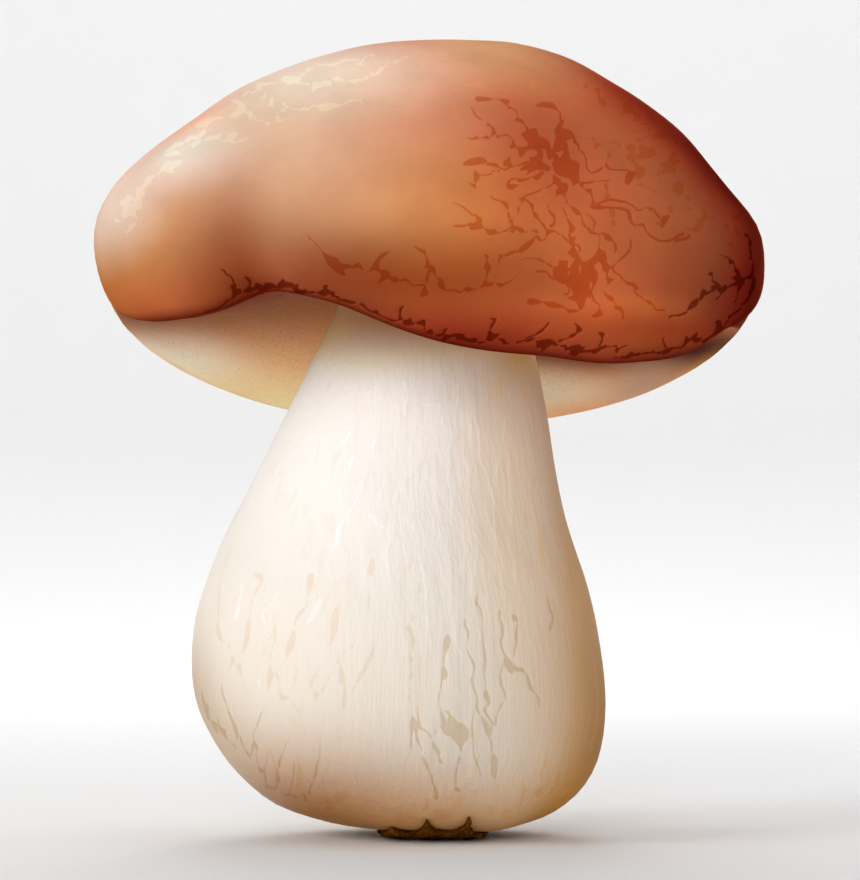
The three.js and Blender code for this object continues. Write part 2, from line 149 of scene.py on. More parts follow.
CAP_NET = """
patch 7.9,128.8 8.2,129.3 9,129.3 9.9,129.2 11.1,128.9 10.7,128.7 9.6,128.5 8.6,128.4
patch 11.2,128.8 12.7,128.9 13.5,128.8 14.1,128.7 13.9,128.3 13.6,127.9 13.1,127.9 12.7,128.2 12.2,128.6
line 13.6,127.9,.09 13.6,127.6,.1
patch 13.5,127.7 13.9,127.5 14.6,127.2 15.2,126.6 15.4,126 15.3,125.5 15.5,125.4 16.2,125.2 16.5,124.5
    16.1,124.5 15.5,124.8 14.6,125 15,125.3 15.2,125.6 15.2,126 15,126.5 14.4,127 13.9,127.1 13.6,127
line 16.5,124.5,.1 16.8,123.9,.16 17,123.5,.21
line 7.3,127.4,.1 7.7,126.6,.14 8,126,.16 8.6,125.5,.14 9.2,125.2,.09
patch 10.1,124.7 10.6,124.3 11.2,123.8 11.5,123.2 11.6,122.7 11.3,122.5 10.7,122.3 10.7,122.7 10.8,123.2
    10.7,123.7 10.4,124 9.9,124.1
patch 11.7,122.6 12.3,122.5 13.4,122.7 13.9,122.4 14.3,121.9 13.9,122.1 13.5,122.4 12.7,122.3 12,122
    11.7,122
line 14.3,121.9,.07 14.6,121.6,.09
patch 9,122.1 9.6,122.3 10.1,122.6 10.2,121.9 9.6,121.9
line 10.2,121.9,.14 10.8,122.3,.1
patch 6.6,122.4 6.9,122.1 7.6,122.1 8.1,122.5 8.4,122.2 8.9,122.1 8.2,121.8 7.4,121.7 6.8,121.9
patch 14.6,121.7 14.9,121 15.3,120.4 14.7,120.3 13.8,120.1 14.2,120.7
patch 15.3,120.4 16.2,120.4 17,120.6 16.9,120 16.5,119.7 17.1,119.8 16.6,119.2 15.7,118.5 15.6,119.4
    15.4,120
line 17,120.6,.12 17.1,119.8,.14
patch 15.9,122.6 16.6,123.1 16.9,123.5 17.6,123.5 18.2,123.7 18.7,123.5 18.9,123.1 19,122.5 19.4,122.2
    20.1,122 20.7,121.7 21,121.2 21.2,120.3 21.4,119.7 21.4,118.5 20.7,118.2 20.5,119 20.3,119.8 19.4,120.2
    19.8,119.5 19.8,118.6 19.7,117.9 20.3,117.4 20.8,117.2 21.2,116.9 20.9,116.2 19.9,116.3 19.2,116.4
    18.4,116.3 17.2,115.7 16.7,115.4 17.2,116.4 15.7,116.3 16,116.9 17,117.6 17.5,118.1 17.3,118.5
    17.4,118.8 18.4,118.8 18.9,119.2 18.8,119.6 18.4,120 17.6,120 17.1,119.8 17,120.3 17.2,121 17,121.4
    16.4,122.1
line 14.7,117,.1 15.4,117.2,.14 16.4,117.6,.21 17.1,117.9,.17
patch 17.9,115.2 18.7,115.7 19.4,116.1 19.9,116.1 19.8,115.7 19.4,115.1 19,114.7 18.6,114.6 18.3,114.8
patch 15.3,114.9 15.9,114.9 16.8,115 17.8,115.3 18,115.1 17.3,114.8 16.3,114.4 15.5,114.2
patch 15.2,114.9 14.7,115 14,114.8 13.5,114.2 13.3,113.4 13.6,112.9 14.3,112.9 14.4,112.8 15,113.2
    15.7,113.6 17,113.7 15.7,113.8 14.3,113.9 13.9,114 14.1,114.3 14.7,114.6 15.2,114.7
patch 5.7,117.3 6,117.8 6.8,118.3 7.9,118.6 8.9,118.7 9.7,118.4 10,117.8 9.4,117.5 8,117.3 6.6,117.1
patch 10,117.6 10.8,117.7 11.7,117.6 12.2,116.9 11,117 9.9,117.2
line 12.1,116.9,.14 12.7,116.6,.14 13.3,116.5,.17 14,116.9,.16 14.5,117,.14
patch 14.1,118.8 14.2,117.9 14.5,117 13.6,117 12.9,117.1 12.9,117.8 13.5,118.4
patch 10.8,116.5 11.4,116.3 12.2,116.4 12.1,116 11.5,116.2 11.1,116.1 10.8,115.8 10.9,116.2
line 10.8,115.8,.17 10.1,115.6,.14 9.4,115.4,.12 8.8,115.5,.12
patch 8,116.3 8.4,115.8 8.8,115.5 8.5,114.6 8,114.1 7.7,114.4 7.7,115.3 7.7,115.9
patch 6.5,114.4 7.3,114 7.9,113.9 8.1,113.1 7.4,113.5
line 7.9,114.2,.1 7.9,113.8,.1
line 10.8,111.9,.1 10.9,111.5,.17 11.5,111.2,.17 12.3,111,.12
patch 12.2,111 13,110.9 13.6,110.6 13.8,109.9 13.6,109.2 13.2,109.9
patch 13.6,109.2 13.9,108.8 14.1,108.3 13.9,107.6 13.6,108.1 13.5,108.8
line 14,107.6,.09 14.3,107.7,.1 14.9,108.1,.07
patch 13.7,107.3 14.5,107.6 14.6,106.8 15.4,106.5 16.2,106.2 16.5,105.6 15.9,105.3 15.6,105.6 14.9,105.9
    14.6,105.3 13.9,105.8 14.5,106.1 14,106.4 14.3,106.8 14,107
line 16.4,105.6,.12 17.2,105.6,.07
patch 4,106.4 4.4,106.8 5.8,106.8 6.7,106.9 6.6,107.2 7.9,107.1 8,107.8 8.1,108.3 8.8,108.2 9.2,107.8
    9.1,106.9 9.4,106.3 8.4,106 7.3,105.9 6.9,106.3 6.7,106.6 5.9,106.3 4.5,106.4
line 3.1,110.7,.05 4.5,110.5,.07 5.8,109.9,.16 6.8,109.1,.14 7.6,108.4,.17 8.2,108.6,.16
patch 9.4,106.2 10.1,106.1 10.8,106 11.4,106.2 11.8,105.6 12.4,105.6 13.5,106.1 14.4,106.6 14.5,106.4
    13.6,105.8 12.6,105.4 11.5,105.1 10.1,105 9.9,105.5
patch 15.3,111.6 16,111.4 16.4,111.5 17.1,111.1 17.8,110.6 18.2,110 18,109.2 17.7,109.6 17.5,110.1 17,110.7
    16.4,110.9 16,110.3 15.7,109.7 15.5,108.5 15.3,109.1 15.3,109.9 15.7,110 15.9,110.9 15.6,111.2
line 16.3,111.4,.23 17.1,112,.17 18.4,112.4,.16 19.2,112.8,.16 20.3,113.3,.09 20.8,113.5,.17 21.5,113.9,.16
patch 18,109.2 18.5,108.9 19,108.3 19.2,107.6 18.8,107.7 18.2,108.3 18,108.8
line 19.1,107.6,.1 19.4,107.3,.16 19.9,106.8,.24 20.3,106.1,.17
patch 20.2,106 21,106 21.9,105.8 22.6,105.3 21.7,105.5 21,105.2 20.4,104.6 20.1,104 19.7,104.1 20.2,104.7
    20.3,105.3
line 22.4,105.3,.14 23.1,105,.09 23.4,104.6,.17 24,104.1,.16 24.2,103.7,.12 24.7,103.3,.16 25,103.1,.14
patch 17.8,105.8 18.9,106 18.9,105.3 18.8,105.2 18.5,105.5
patch 18.8,105.2 19.2,104.7 19.7,104.1 19.2,103.9 18.8,104.4
patch 18.7,105 18.5,104.3 17.8,103.2 17,102.5 15.7,101.9 15.5,102.5 16.1,103.2 17.1,103.9 18.2,104.6
line 15.5,102.3,.1 14.5,102,.26 13.6,101.6,.23 13,101.3,.12
patch 22.8,125 23.5,125 23.1,123.9 23.2,123.7 24,123.5 24.7,123.2 25.2,122.6 25.4,122.1 25,121.9 24.3,121.7
    23.8,121.5 24.1,121.2 24.3,120.3 24.4,119.4 24.7,118.5 25.3,118.1 25.9,117.9 26.2,117.5 26.2,116.1
    26.1,114.4 25.1,113.7 24.8,114.5 24.3,114.9 23.6,115.1 22.9,115.3 22,115.8 21.7,116.2 21.5,117
    21.3,117.6 21.6,118.2 21.4,119.7 21.9,121.6 22,122.4 21.8,123 21.9,123.5 22.3,124.2
hole 22,119.4 22.7,119.6 23.4,119.7 22.8,118.4 22.4,119
line 22.5,126.7,.07 22.8,126.1,.14 22.8,125,.16
patch 18.4,127.6 19.3,128.1 20.4,128.3 21.5,128.1 22,127.6 22.5,126.7 21.7,127 20.6,127.2 19.3,127.4
patch 21.6,115.6 22.4,115.1 22.9,114.8 23.3,114.1 24,114.1 24.3,113.7 24.3,113.1 24,112.5 23.7,111.5
    23.4,112 22.8,112.1 22.3,111.8 21.3,110.8 20.8,109.9 20.5,109.5 20.4,109.8 21,110.6 21.7,111.5
    22.3,112.4 21.7,112.3 22.2,113 22.3,113.5 21.9,113.9 21.3,113.9 21.5,114.5
patch 20.7,109.5 21.3,109.1 21.8,108.6 22,107.8 21.9,106.9 21.5,106.3 20.9,106.4 20.9,106.8 21.5,107.2
    21.7,107.7 21.5,108.2 20.9,108.8
line 22.9,110.4,.07 23.4,109.5,.09 23.9,108.5,.12
patch 23.9,108.5 24.2,107.9 25,106.9 25.4,106.2 25.2,105.6 24.4,105.3 24.4,106.2 24.1,107.3
patch 24,111.4 24.1,110.8 24.5,110.2 25.4,109.9 26.1,109.4 26.5,108.6 25.9,108.5 25.4,108.8 24.8,109.6
    24.4,110.2 23.8,110.7 23.7,111.2
line 26.5,108.6,.09 26.6,107.8,.12 26.7,107.3,.17 27,106.8,.23 27.4,106.4,.16
patch 27.4,106.4 28.1,106.2 28.3,105.7 28.9,105.5 29.6,105.3 29.2,105 28.3,105.1 27.8,105.5 27.5,105.9
line 29.5,105.1,.09 29.7,104.1,.09 29.5,102.9,.1
patch 26.9,109 27.8,108.7 28.5,108.1 29,107.5 29,106.8 28.6,105.8 28.5,106 28.6,107.1 28.3,107.9 27.6,108.6
patch 29.5,105.2 30.3,105.5 31,105.3 31.6,104.9 32,104.1 32.5,103.6 32.8,102.8 32.5,102.1 32,101.7
    32.3,102.5 32.2,103.2 31.8,103.8 31.1,103.9 30.6,104.2 30.3,105
line 35.1,104.6,.07 35.2,103.6,.21 35,102.5,.21 34.5,101.8,.24 33.6,101,.23 32.7,100.2,.14 32,99.7,.09
patch 26.2,114.4 27.2,114.4 27.1,114.1 26.8,113.7 27,113.2 28.3,113.2 28.5,112.5 28.7,111.1 29.1,110.5
    28.2,110.2 28.4,111 28.2,112 27.6,112.6 26.8,113.2 26.3,113.5 26.1,114.1
patch 27.2,114.1 27.8,114.4 29.4,114.5 28.4,114.1 27.5,113.9
line 29.2,114.4,.09 30.3,114.6,.12 31.1,114.6,.14 31.8,114.9,.07
patch 29.1,110.5 30.3,111 31.7,111.4 32.5,111.4 33.6,111.2 34.8,110.8 35.7,110.2 36.2,109.5 35.6,109.9
    34.6,110.5 33.2,110.7 32,111 31.1,110.9 30.3,110.6 29.4,110.3
patch 28.2,110.1 29.6,110.3 30.6,110.1 32.4,110 33.8,109.9 34.3,109.6 34.9,109.5 35.3,108.7 35.4,107.6
    35.7,107 36.2,106.7 35.9,106.5 35.3,106.8 34.9,107.4 34.6,108.5 34.3,109.1 33.6,109.3 32.2,109.6
    30.6,109.6 29.2,109.4 28.5,109.6
patch 36.1,106.7 36.8,107 37.5,107.1 37.9,106 38.6,105.2 39.8,104.5 41,104.1 42.2,104.4 43.2,105 44.3,105.6
    44.6,105.2 43.8,104.6 42.4,104 41.1,103.7 39.7,104.1 38.4,104.9 37.6,106 37.3,106.6 36.7,106.6
patch 43.3,104.4 44.3,104.5 45.4,105.1 45.6,104.6 45,104.2 43.9,103.9 43,103.8 42.9,104.1
line 35.5,110.2,.14 36.2,109.5,.14 36.8,109.4,.17 37.4,109.7,.1 38.1,109.8,.17 38.5,109.5,.28 39,109.6,.17
    39.5,108.8,.19 40.2,108,.16
patch 42,108.5 41.6,107.4 40.5,106.2 40.3,107.1 40.4,107.7 41,108.3
patch 34.7,116.2 35.5,116.2 36.4,116.1 35.9,115.3 35.3,114.4 34.6,113.8 34.1,114.2 34.1,114.7
patch 30.9,117.9 31.1,117.3 31.9,116.7 33.2,116.6 34.6,116.6 35.3,116.2 34.5,116.3 33.2,116.3 31.9,116.4
    31,116.7 30.6,117.2
patch 25.1,122.1 25.5,121.9 25.7,121.4 26.2,120.9 26.2,120.4 26,119.9 25.8,120 25.8,120.6 25.3,121 25,121.4
line 26.2,120,.1 26.8,119.3,.16 27.2,118.8,.14 27.4,118.1,.16 27.4,117.2,.14 27.7,116.5,.17 28.3,116,.17
    28.9,116.1,.21 29.6,116.4,.23 30.3,116.9,.16
patch 24.1,105.2 24.5,105.2 24.8,104.7 25.6,104.7 25.3,103.8 25.2,103.1 24.7,103.5 24.3,103.9 24.3,104.7
line 25.1,103.1,.14 25.7,103.2,.16 26.2,102.8,.19 26.2,102.3,.17 26.1,102,.1
patch 25.1,103.1 25.6,102.4 26.2,101.4 26.7,100.4 27.9,100.7 28.9,101.6 29.5,102.9 29.9,102.5 30.6,102.2
    30.9,101.1 31,100.1 31.6,99.7 32.2,99.6 31.4,98.9 31.1,98.1 31.5,97.4 32.3,97.3 31.6,96.8 31,96.1
    30.4,95.1 30.9,96.2 30.9,96.9 30.7,97.4 30.9,98 30.6,98.5 30.1,98.7 30,99.6 29.6,100.3 29,100 28.7,99.5
    29.4,98.2 29.2,97.1 28.5,95.5 28.3,95 28.1,94 27.4,94.1 27.2,93.4 26.9,92.5 26.1,91.9 25.9,92.5
    25.4,93.4 24,94.1 24.7,94.4 25,94.9 24.7,95.6 24.1,96.5 23.6,96.3 22.9,96.5 22.2,97 21.6,97.6 21.5,99.4
    22.2,99.4 22.6,100 22.5,100.5 23.9,100.5 24.2,100.3 24,99.5 24.3,99.2 24.8,99.9 25.5,101 24.8,101
    24.6,101.5 23.9,101.7 24.6,102.5
hole 26.2,99.8 26.4,99.2 26.3,98.3 26.1,98.1 26,99
hole 24,97.6 24.5,98.4 24.5,98.9 24.1,98.3
hole 27.9,96.8 28.3,96.8 28.3,96.1 28,95.4 27.9,96.1
line 15.8,100.6,.07 17,100.9,.1 18.2,100.9,.14 19.3,100.8,.19
patch 19.2,100.7 19.8,100.6 20.2,100.2 19.5,100.2
patch 20.2,100.2 20.9,100 21.5,99.4 20.8,99.5
patch 18.3,98.6 18.9,98.8 20.1,98.8 20.8,98.4 19.9,98.4 18.6,98.4
line 20.7,98.4,.14 20.8,98,.21 21.2,97.6,.17 21.6,97.3,.12
patch 16.9,93.4 17.3,93.9 18.1,94 19.4,93.5 19.5,93.1 18.4,92.8 17.3,92.9
patch 19.6,93.3 20.2,93.4 21.6,93.3 22.9,92.8 24.1,92.1 26,91.9 25.6,91.6 24.6,91.4 24,91.6 23.5,92.2
    21.3,92.3 20.5,92.6
patch 23.8,96.9 24.3,96.2 24.5,95.4 24.1,94.5 23.2,94.6 23.5,94.8 24.1,95.1 24.2,95.5 23.8,96.2
line 28.2,95.1,.16 28.5,94.1,.21 28.7,93.4,.21 29.3,93.1,.12 29.7,92.7,.12 29.6,92.2,.14
patch 29.6,92.2 30.3,91.2 29.7,90.8 28.9,90.6 28.3,90.9 29.2,91.6
patch 30.3,95.3 31.1,94.6 32,94.1 32.3,93.5 31.6,93.4 30.9,93.9 30.5,94.7
patch 32,93.3 32.6,93.2 32.5,92.8 33.6,92.4 33.9,91.4 33.9,90.4 33.5,90.3 33.6,91.3 32.9,91.9 32.1,92.3
    32.4,92.8
line 32.1,99.6,.16 32,99,.17 32.4,98.4,.17 33.1,98,.16 33.5,97.5,.17 34.1,96.9,.14
patch 34.1,96.8 35.6,96.7 36.4,96 36.6,95.5 35.8,95.4 35.3,96.2 34.8,96.1
line 35.7,95.3,.12 36.2,94.7,.19 37,94.2,.17 37.5,93.7,.09
patch 37.5,93.7 38.6,93.5 39.1,92.8 38.4,92.9 37.7,93.5
line 39.1,92.8,.1 39.5,92,.12 40.1,91.8,.16 40.8,91.9,.21 41.2,91.9,.17
patch 12.9,101.4 12.3,101.7 12,101.1 11.9,100.3 12.1,100 12.4,100.7
patch 9.4,101.6 10.5,101.5 10.1,100.6 10.7,99.5 10.5,98.7 10.1,98.2 9.7,98.8 9.4,99.4 9.9,100.6
patch 10.1,98 10,96.8 11.1,96.7 10.8,96.1 9.4,95.9 8,95.4 8.8,96 9.6,97.1
line 10.1,98.3,.14 10,97.7,.17
patch 11.5,96.5 12.1,96.7 12.8,96.5 13.5,96.7 12.9,96.1 12.3,95.8 11.9,96.1
line 13.1,96.5,.17 14,96.9,.12 14.9,97.6,.1 15.7,98.3,.07
patch -21.4,105.2 -21.1,104.8 -20.6,104 -21.1,104.2 -21.3,104.7
line -20.6,104.1,.07 -19.6,103,.09 -18.7,102,.09
patch -18.8,102 -17.8,101.5 -16.3,101 -15.7,100.2 -14.5,99.9 -13.5,99.7 -12.8,100.2 -12.2,99.9 -11.6,98.8
    -12.6,99.2 -14.2,99.2 -15,98.9 -14.7,97.9 -16.1,98.3 -17.5,99.4 -18.2,100.4
patch -10.6,98.7 -9.8,100.2 -8.8,101.5 -7.7,102.1 -7,102.3 -7.6,101.5 -8.5,100.7 -8.9,99.6 -8.7,99 -7.4,98.8
    -6.9,98.1 -7.3,97.4 -8.4,96.8 -9.2,96.3 -8.8,97.4 -8.5,98.2 -9.6,98.8
line -11.2,98.6,.07 -10.3,98.7,.09
patch -7.1,97.5 -6.5,97.8 -5.6,97.6 -5.6,96.8 -6.3,96.7 -6.9,97
line -5.6,97.3,.09 -5.1,97.1,.14 -4.2,97.2,.23 -3.5,96.6,.14 -3,96.2,.12 -1.9,96.2,.17 -1,96.3,.21
patch -3.2,103.3 -1.9,102.7 -0.8,102.3 -0.6,101.4 0,100.1 0,99.4 -1,99.3 -0.7,100.3 -0.9,101.5 -1.8,102.1
patch 0,99.6 0.6,99.7 1,99 1,98.1 1.3,97.4 0.8,98 0.2,98.6 -0.1,98 -0.5,96.5 -0.8,97.5 -0.4,98.7
patch -0.9,96.5 -0.7,95.8 -0.3,94.7 -1,94.3 -1.6,94.2 -1.7,94.6 -1.2,95.7
patch 1.3,97.5 2.3,97.2 2.6,96.2 2.7,95.4 1.9,95.5 1.4,96.2 1.5,96.9
line 2.6,95.4,.14 3.5,95.3,.16 4.4,95.3,.17 5.1,95,.17 5.8,95.3,.12
patch 5.9,95.4 6.6,96 7.4,95.7 7.6,95.4 6.6,95.1
line 7.5,95.4,.12 8.2,95.5,.1
"""
CAP_FAINT_NET = """
patch 27.5,121.8 28.3,122.1 28.9,121.9 28.9,121.5 28.2,121.7
patch 28.9,121.3 29.7,121.2 30.8,121.2 29.7,120.6 28.5,119.8 28.8,120.7
line 30.8,121.2,.1 31.7,121.4,.14 32.7,121.2,.16 33.4,121,.12
line 28.3,119.8,.09 27.6,119.6,.09 26.8,119.4,.09
patch 33.9,120.9 32.9,120.3 31.8,119.7 31.7,119 31.1,118.2 30.9,118.8 31.4,119.6 32.5,120.5
patch 34.3,120.4 34.7,121 35.3,121.1 36,120.7 36.1,120.1 35.5,119.7 34.7,119.8
patch 36.8,121 38,120.3 38.8,120.3 39.5,119.7 39.4,118.9 38.3,118.5 36.8,118.3 36,118.6 36.6,119.3 36.8,120
patch 34.3,118.6 34.8,119.4 35.7,119.6 36.1,119 36,118.1 36.7,117.6 36.2,116.8 35.6,117.6 34.8,118.2
patch 35.9,116.6 36.9,117.1 37.8,116.7 37.6,115.7 36.8,114.9 36,115 36.4,115.9
patch 33.8,127.9 34.5,128.2 35.3,127.8 35.5,126.9 36.6,126.2 37.1,125.1 35.6,125 35.4,126.2 33.8,126.3
patch 26.8,131.1 27.1,131.4 27.6,131.4 27.6,130.7 27.1,130.6
patch 28.7,130.5 29.4,130.8 29.7,130 29.8,129 30.6,128.6 30.7,127.9 30.4,127.4 29.7,128 29.4,128.6
    29.3,129.7
patch 40.2,117.5 41.6,117.9 42.3,119.4 42.9,119.6 43,118.5 43.9,118 43,117.2 43.1,115.8 42.5,116 41.6,115.9
    39.5,115.4 40.1,116.2 40.9,116.6
patch 42.7,114.1 43.6,114.4 44.4,113.9 44.4,112.9 43.8,111.9 42.7,112.7 41.6,112.4 42.5,113.2
patch 44.8,111.7 45.7,111.6 45.6,110.8 45,110.4 45.1,109.8 46,109.5 45.8,109.2 44.9,109.6 45.1,110.6
patch 46.4,107.7 47.6,108.1 48,109.4 48.6,108.3 47.9,107.4 47.9,106.6 47.1,105.7 46.5,105.4 45.8,105.7
    44.4,106 45,106.3 45.8,106.3 46.7,106.8
patch 48.6,107.8 49.7,108.3 50.8,108.4 49.9,107.9
patch 41.5,110.1 42.2,110.2 42.5,109.3 42.1,108.8 41.6,109.2
patch 30.4,114.1 31,114.2 31.3,113.4 31.1,112.7 30.7,113
patch 31,112.6 31.5,111.8 32,111.3 30.5,111.3 30.6,112
patch 31.3,109.5 31.8,109.8 32.4,109.3 32.5,108.5 32,108 31.4,108.4
patch 31.7,107.6 32.4,107.7 32.5,107 32.1,106.4 31.6,107
patch 38.9,106.9 39.7,107.3 40.2,107.4 40.1,106.8 39.4,106.8
line 36.2,113.8,.14 37.1,113.8,.16 38,113.4,.1 39,112.9,.1 39.6,112.3,.12 39.2,111.8,.14 38.6,111.6,.09
line 40.1,116.4,.1 40.2,115,.1 40.2,113.9,.12 39.8,112.9,.14
line 36.9,124.4,.17 37.8,124.4,.14 38.3,123.7,.14 38.4,122.7,.17 37.6,121.9,.16 36.8,121.7,.16 36,122,.14
line 35.6,122.8,.14 36.2,123.3,.17 36.8,123.4,.1
patch 38.8,122.3 39.9,122.8 41.1,123 41.6,122.1 40.2,121.7
line 40.9,122.8,.14 42,122.6,.14 42.9,121.6,.17 43.2,120.6,.17
patch 53,108.5 54.1,108.6 54.4,108 53.9,107.4 53,107.8
patch 51.5,107.2 52.5,106.8 52.1,106.1
patch 53.5,106.9 54.2,106.2 54.4,105.3 53.9,104.6 53.5,105.3
patch 52.3,103.9 53.4,103.6 53,102.9 52.3,103.2
"""
CAP_GLOW = """
patch 6,131 6.4,131.6 7.5,131.5 8.2,131.9 9.3,131.8 9.9,130.8 9,130.7 7.8,131.2 6.8,131
patch 10.2,130.7 12,130.7 13.1,130.8 13.8,131.1 14,130.4 14.6,129.9 13.8,130.1 12.9,130.5 11.4,130.4
    10.3,130.4
patch 17.8,132.1 18.8,131.9 18.8,131 17.7,130.5
line 22.2,131.9,.16 23.1,131.5,.24 23.8,131.2,.14 24.5,131,.14
patch 23.9,130.6 24.1,130.8 24.3,130 24.4,129.5 24,129.9
patch 25.5,129.1 26,128.7 26,128.1 25.5,128.1
patch 3.8,128.6 4.6,128.3 4.5,127.6 3.8,127.2
patch 4,126.9 4.7,127.1 5.2,125.6 4.4,125.6
"""
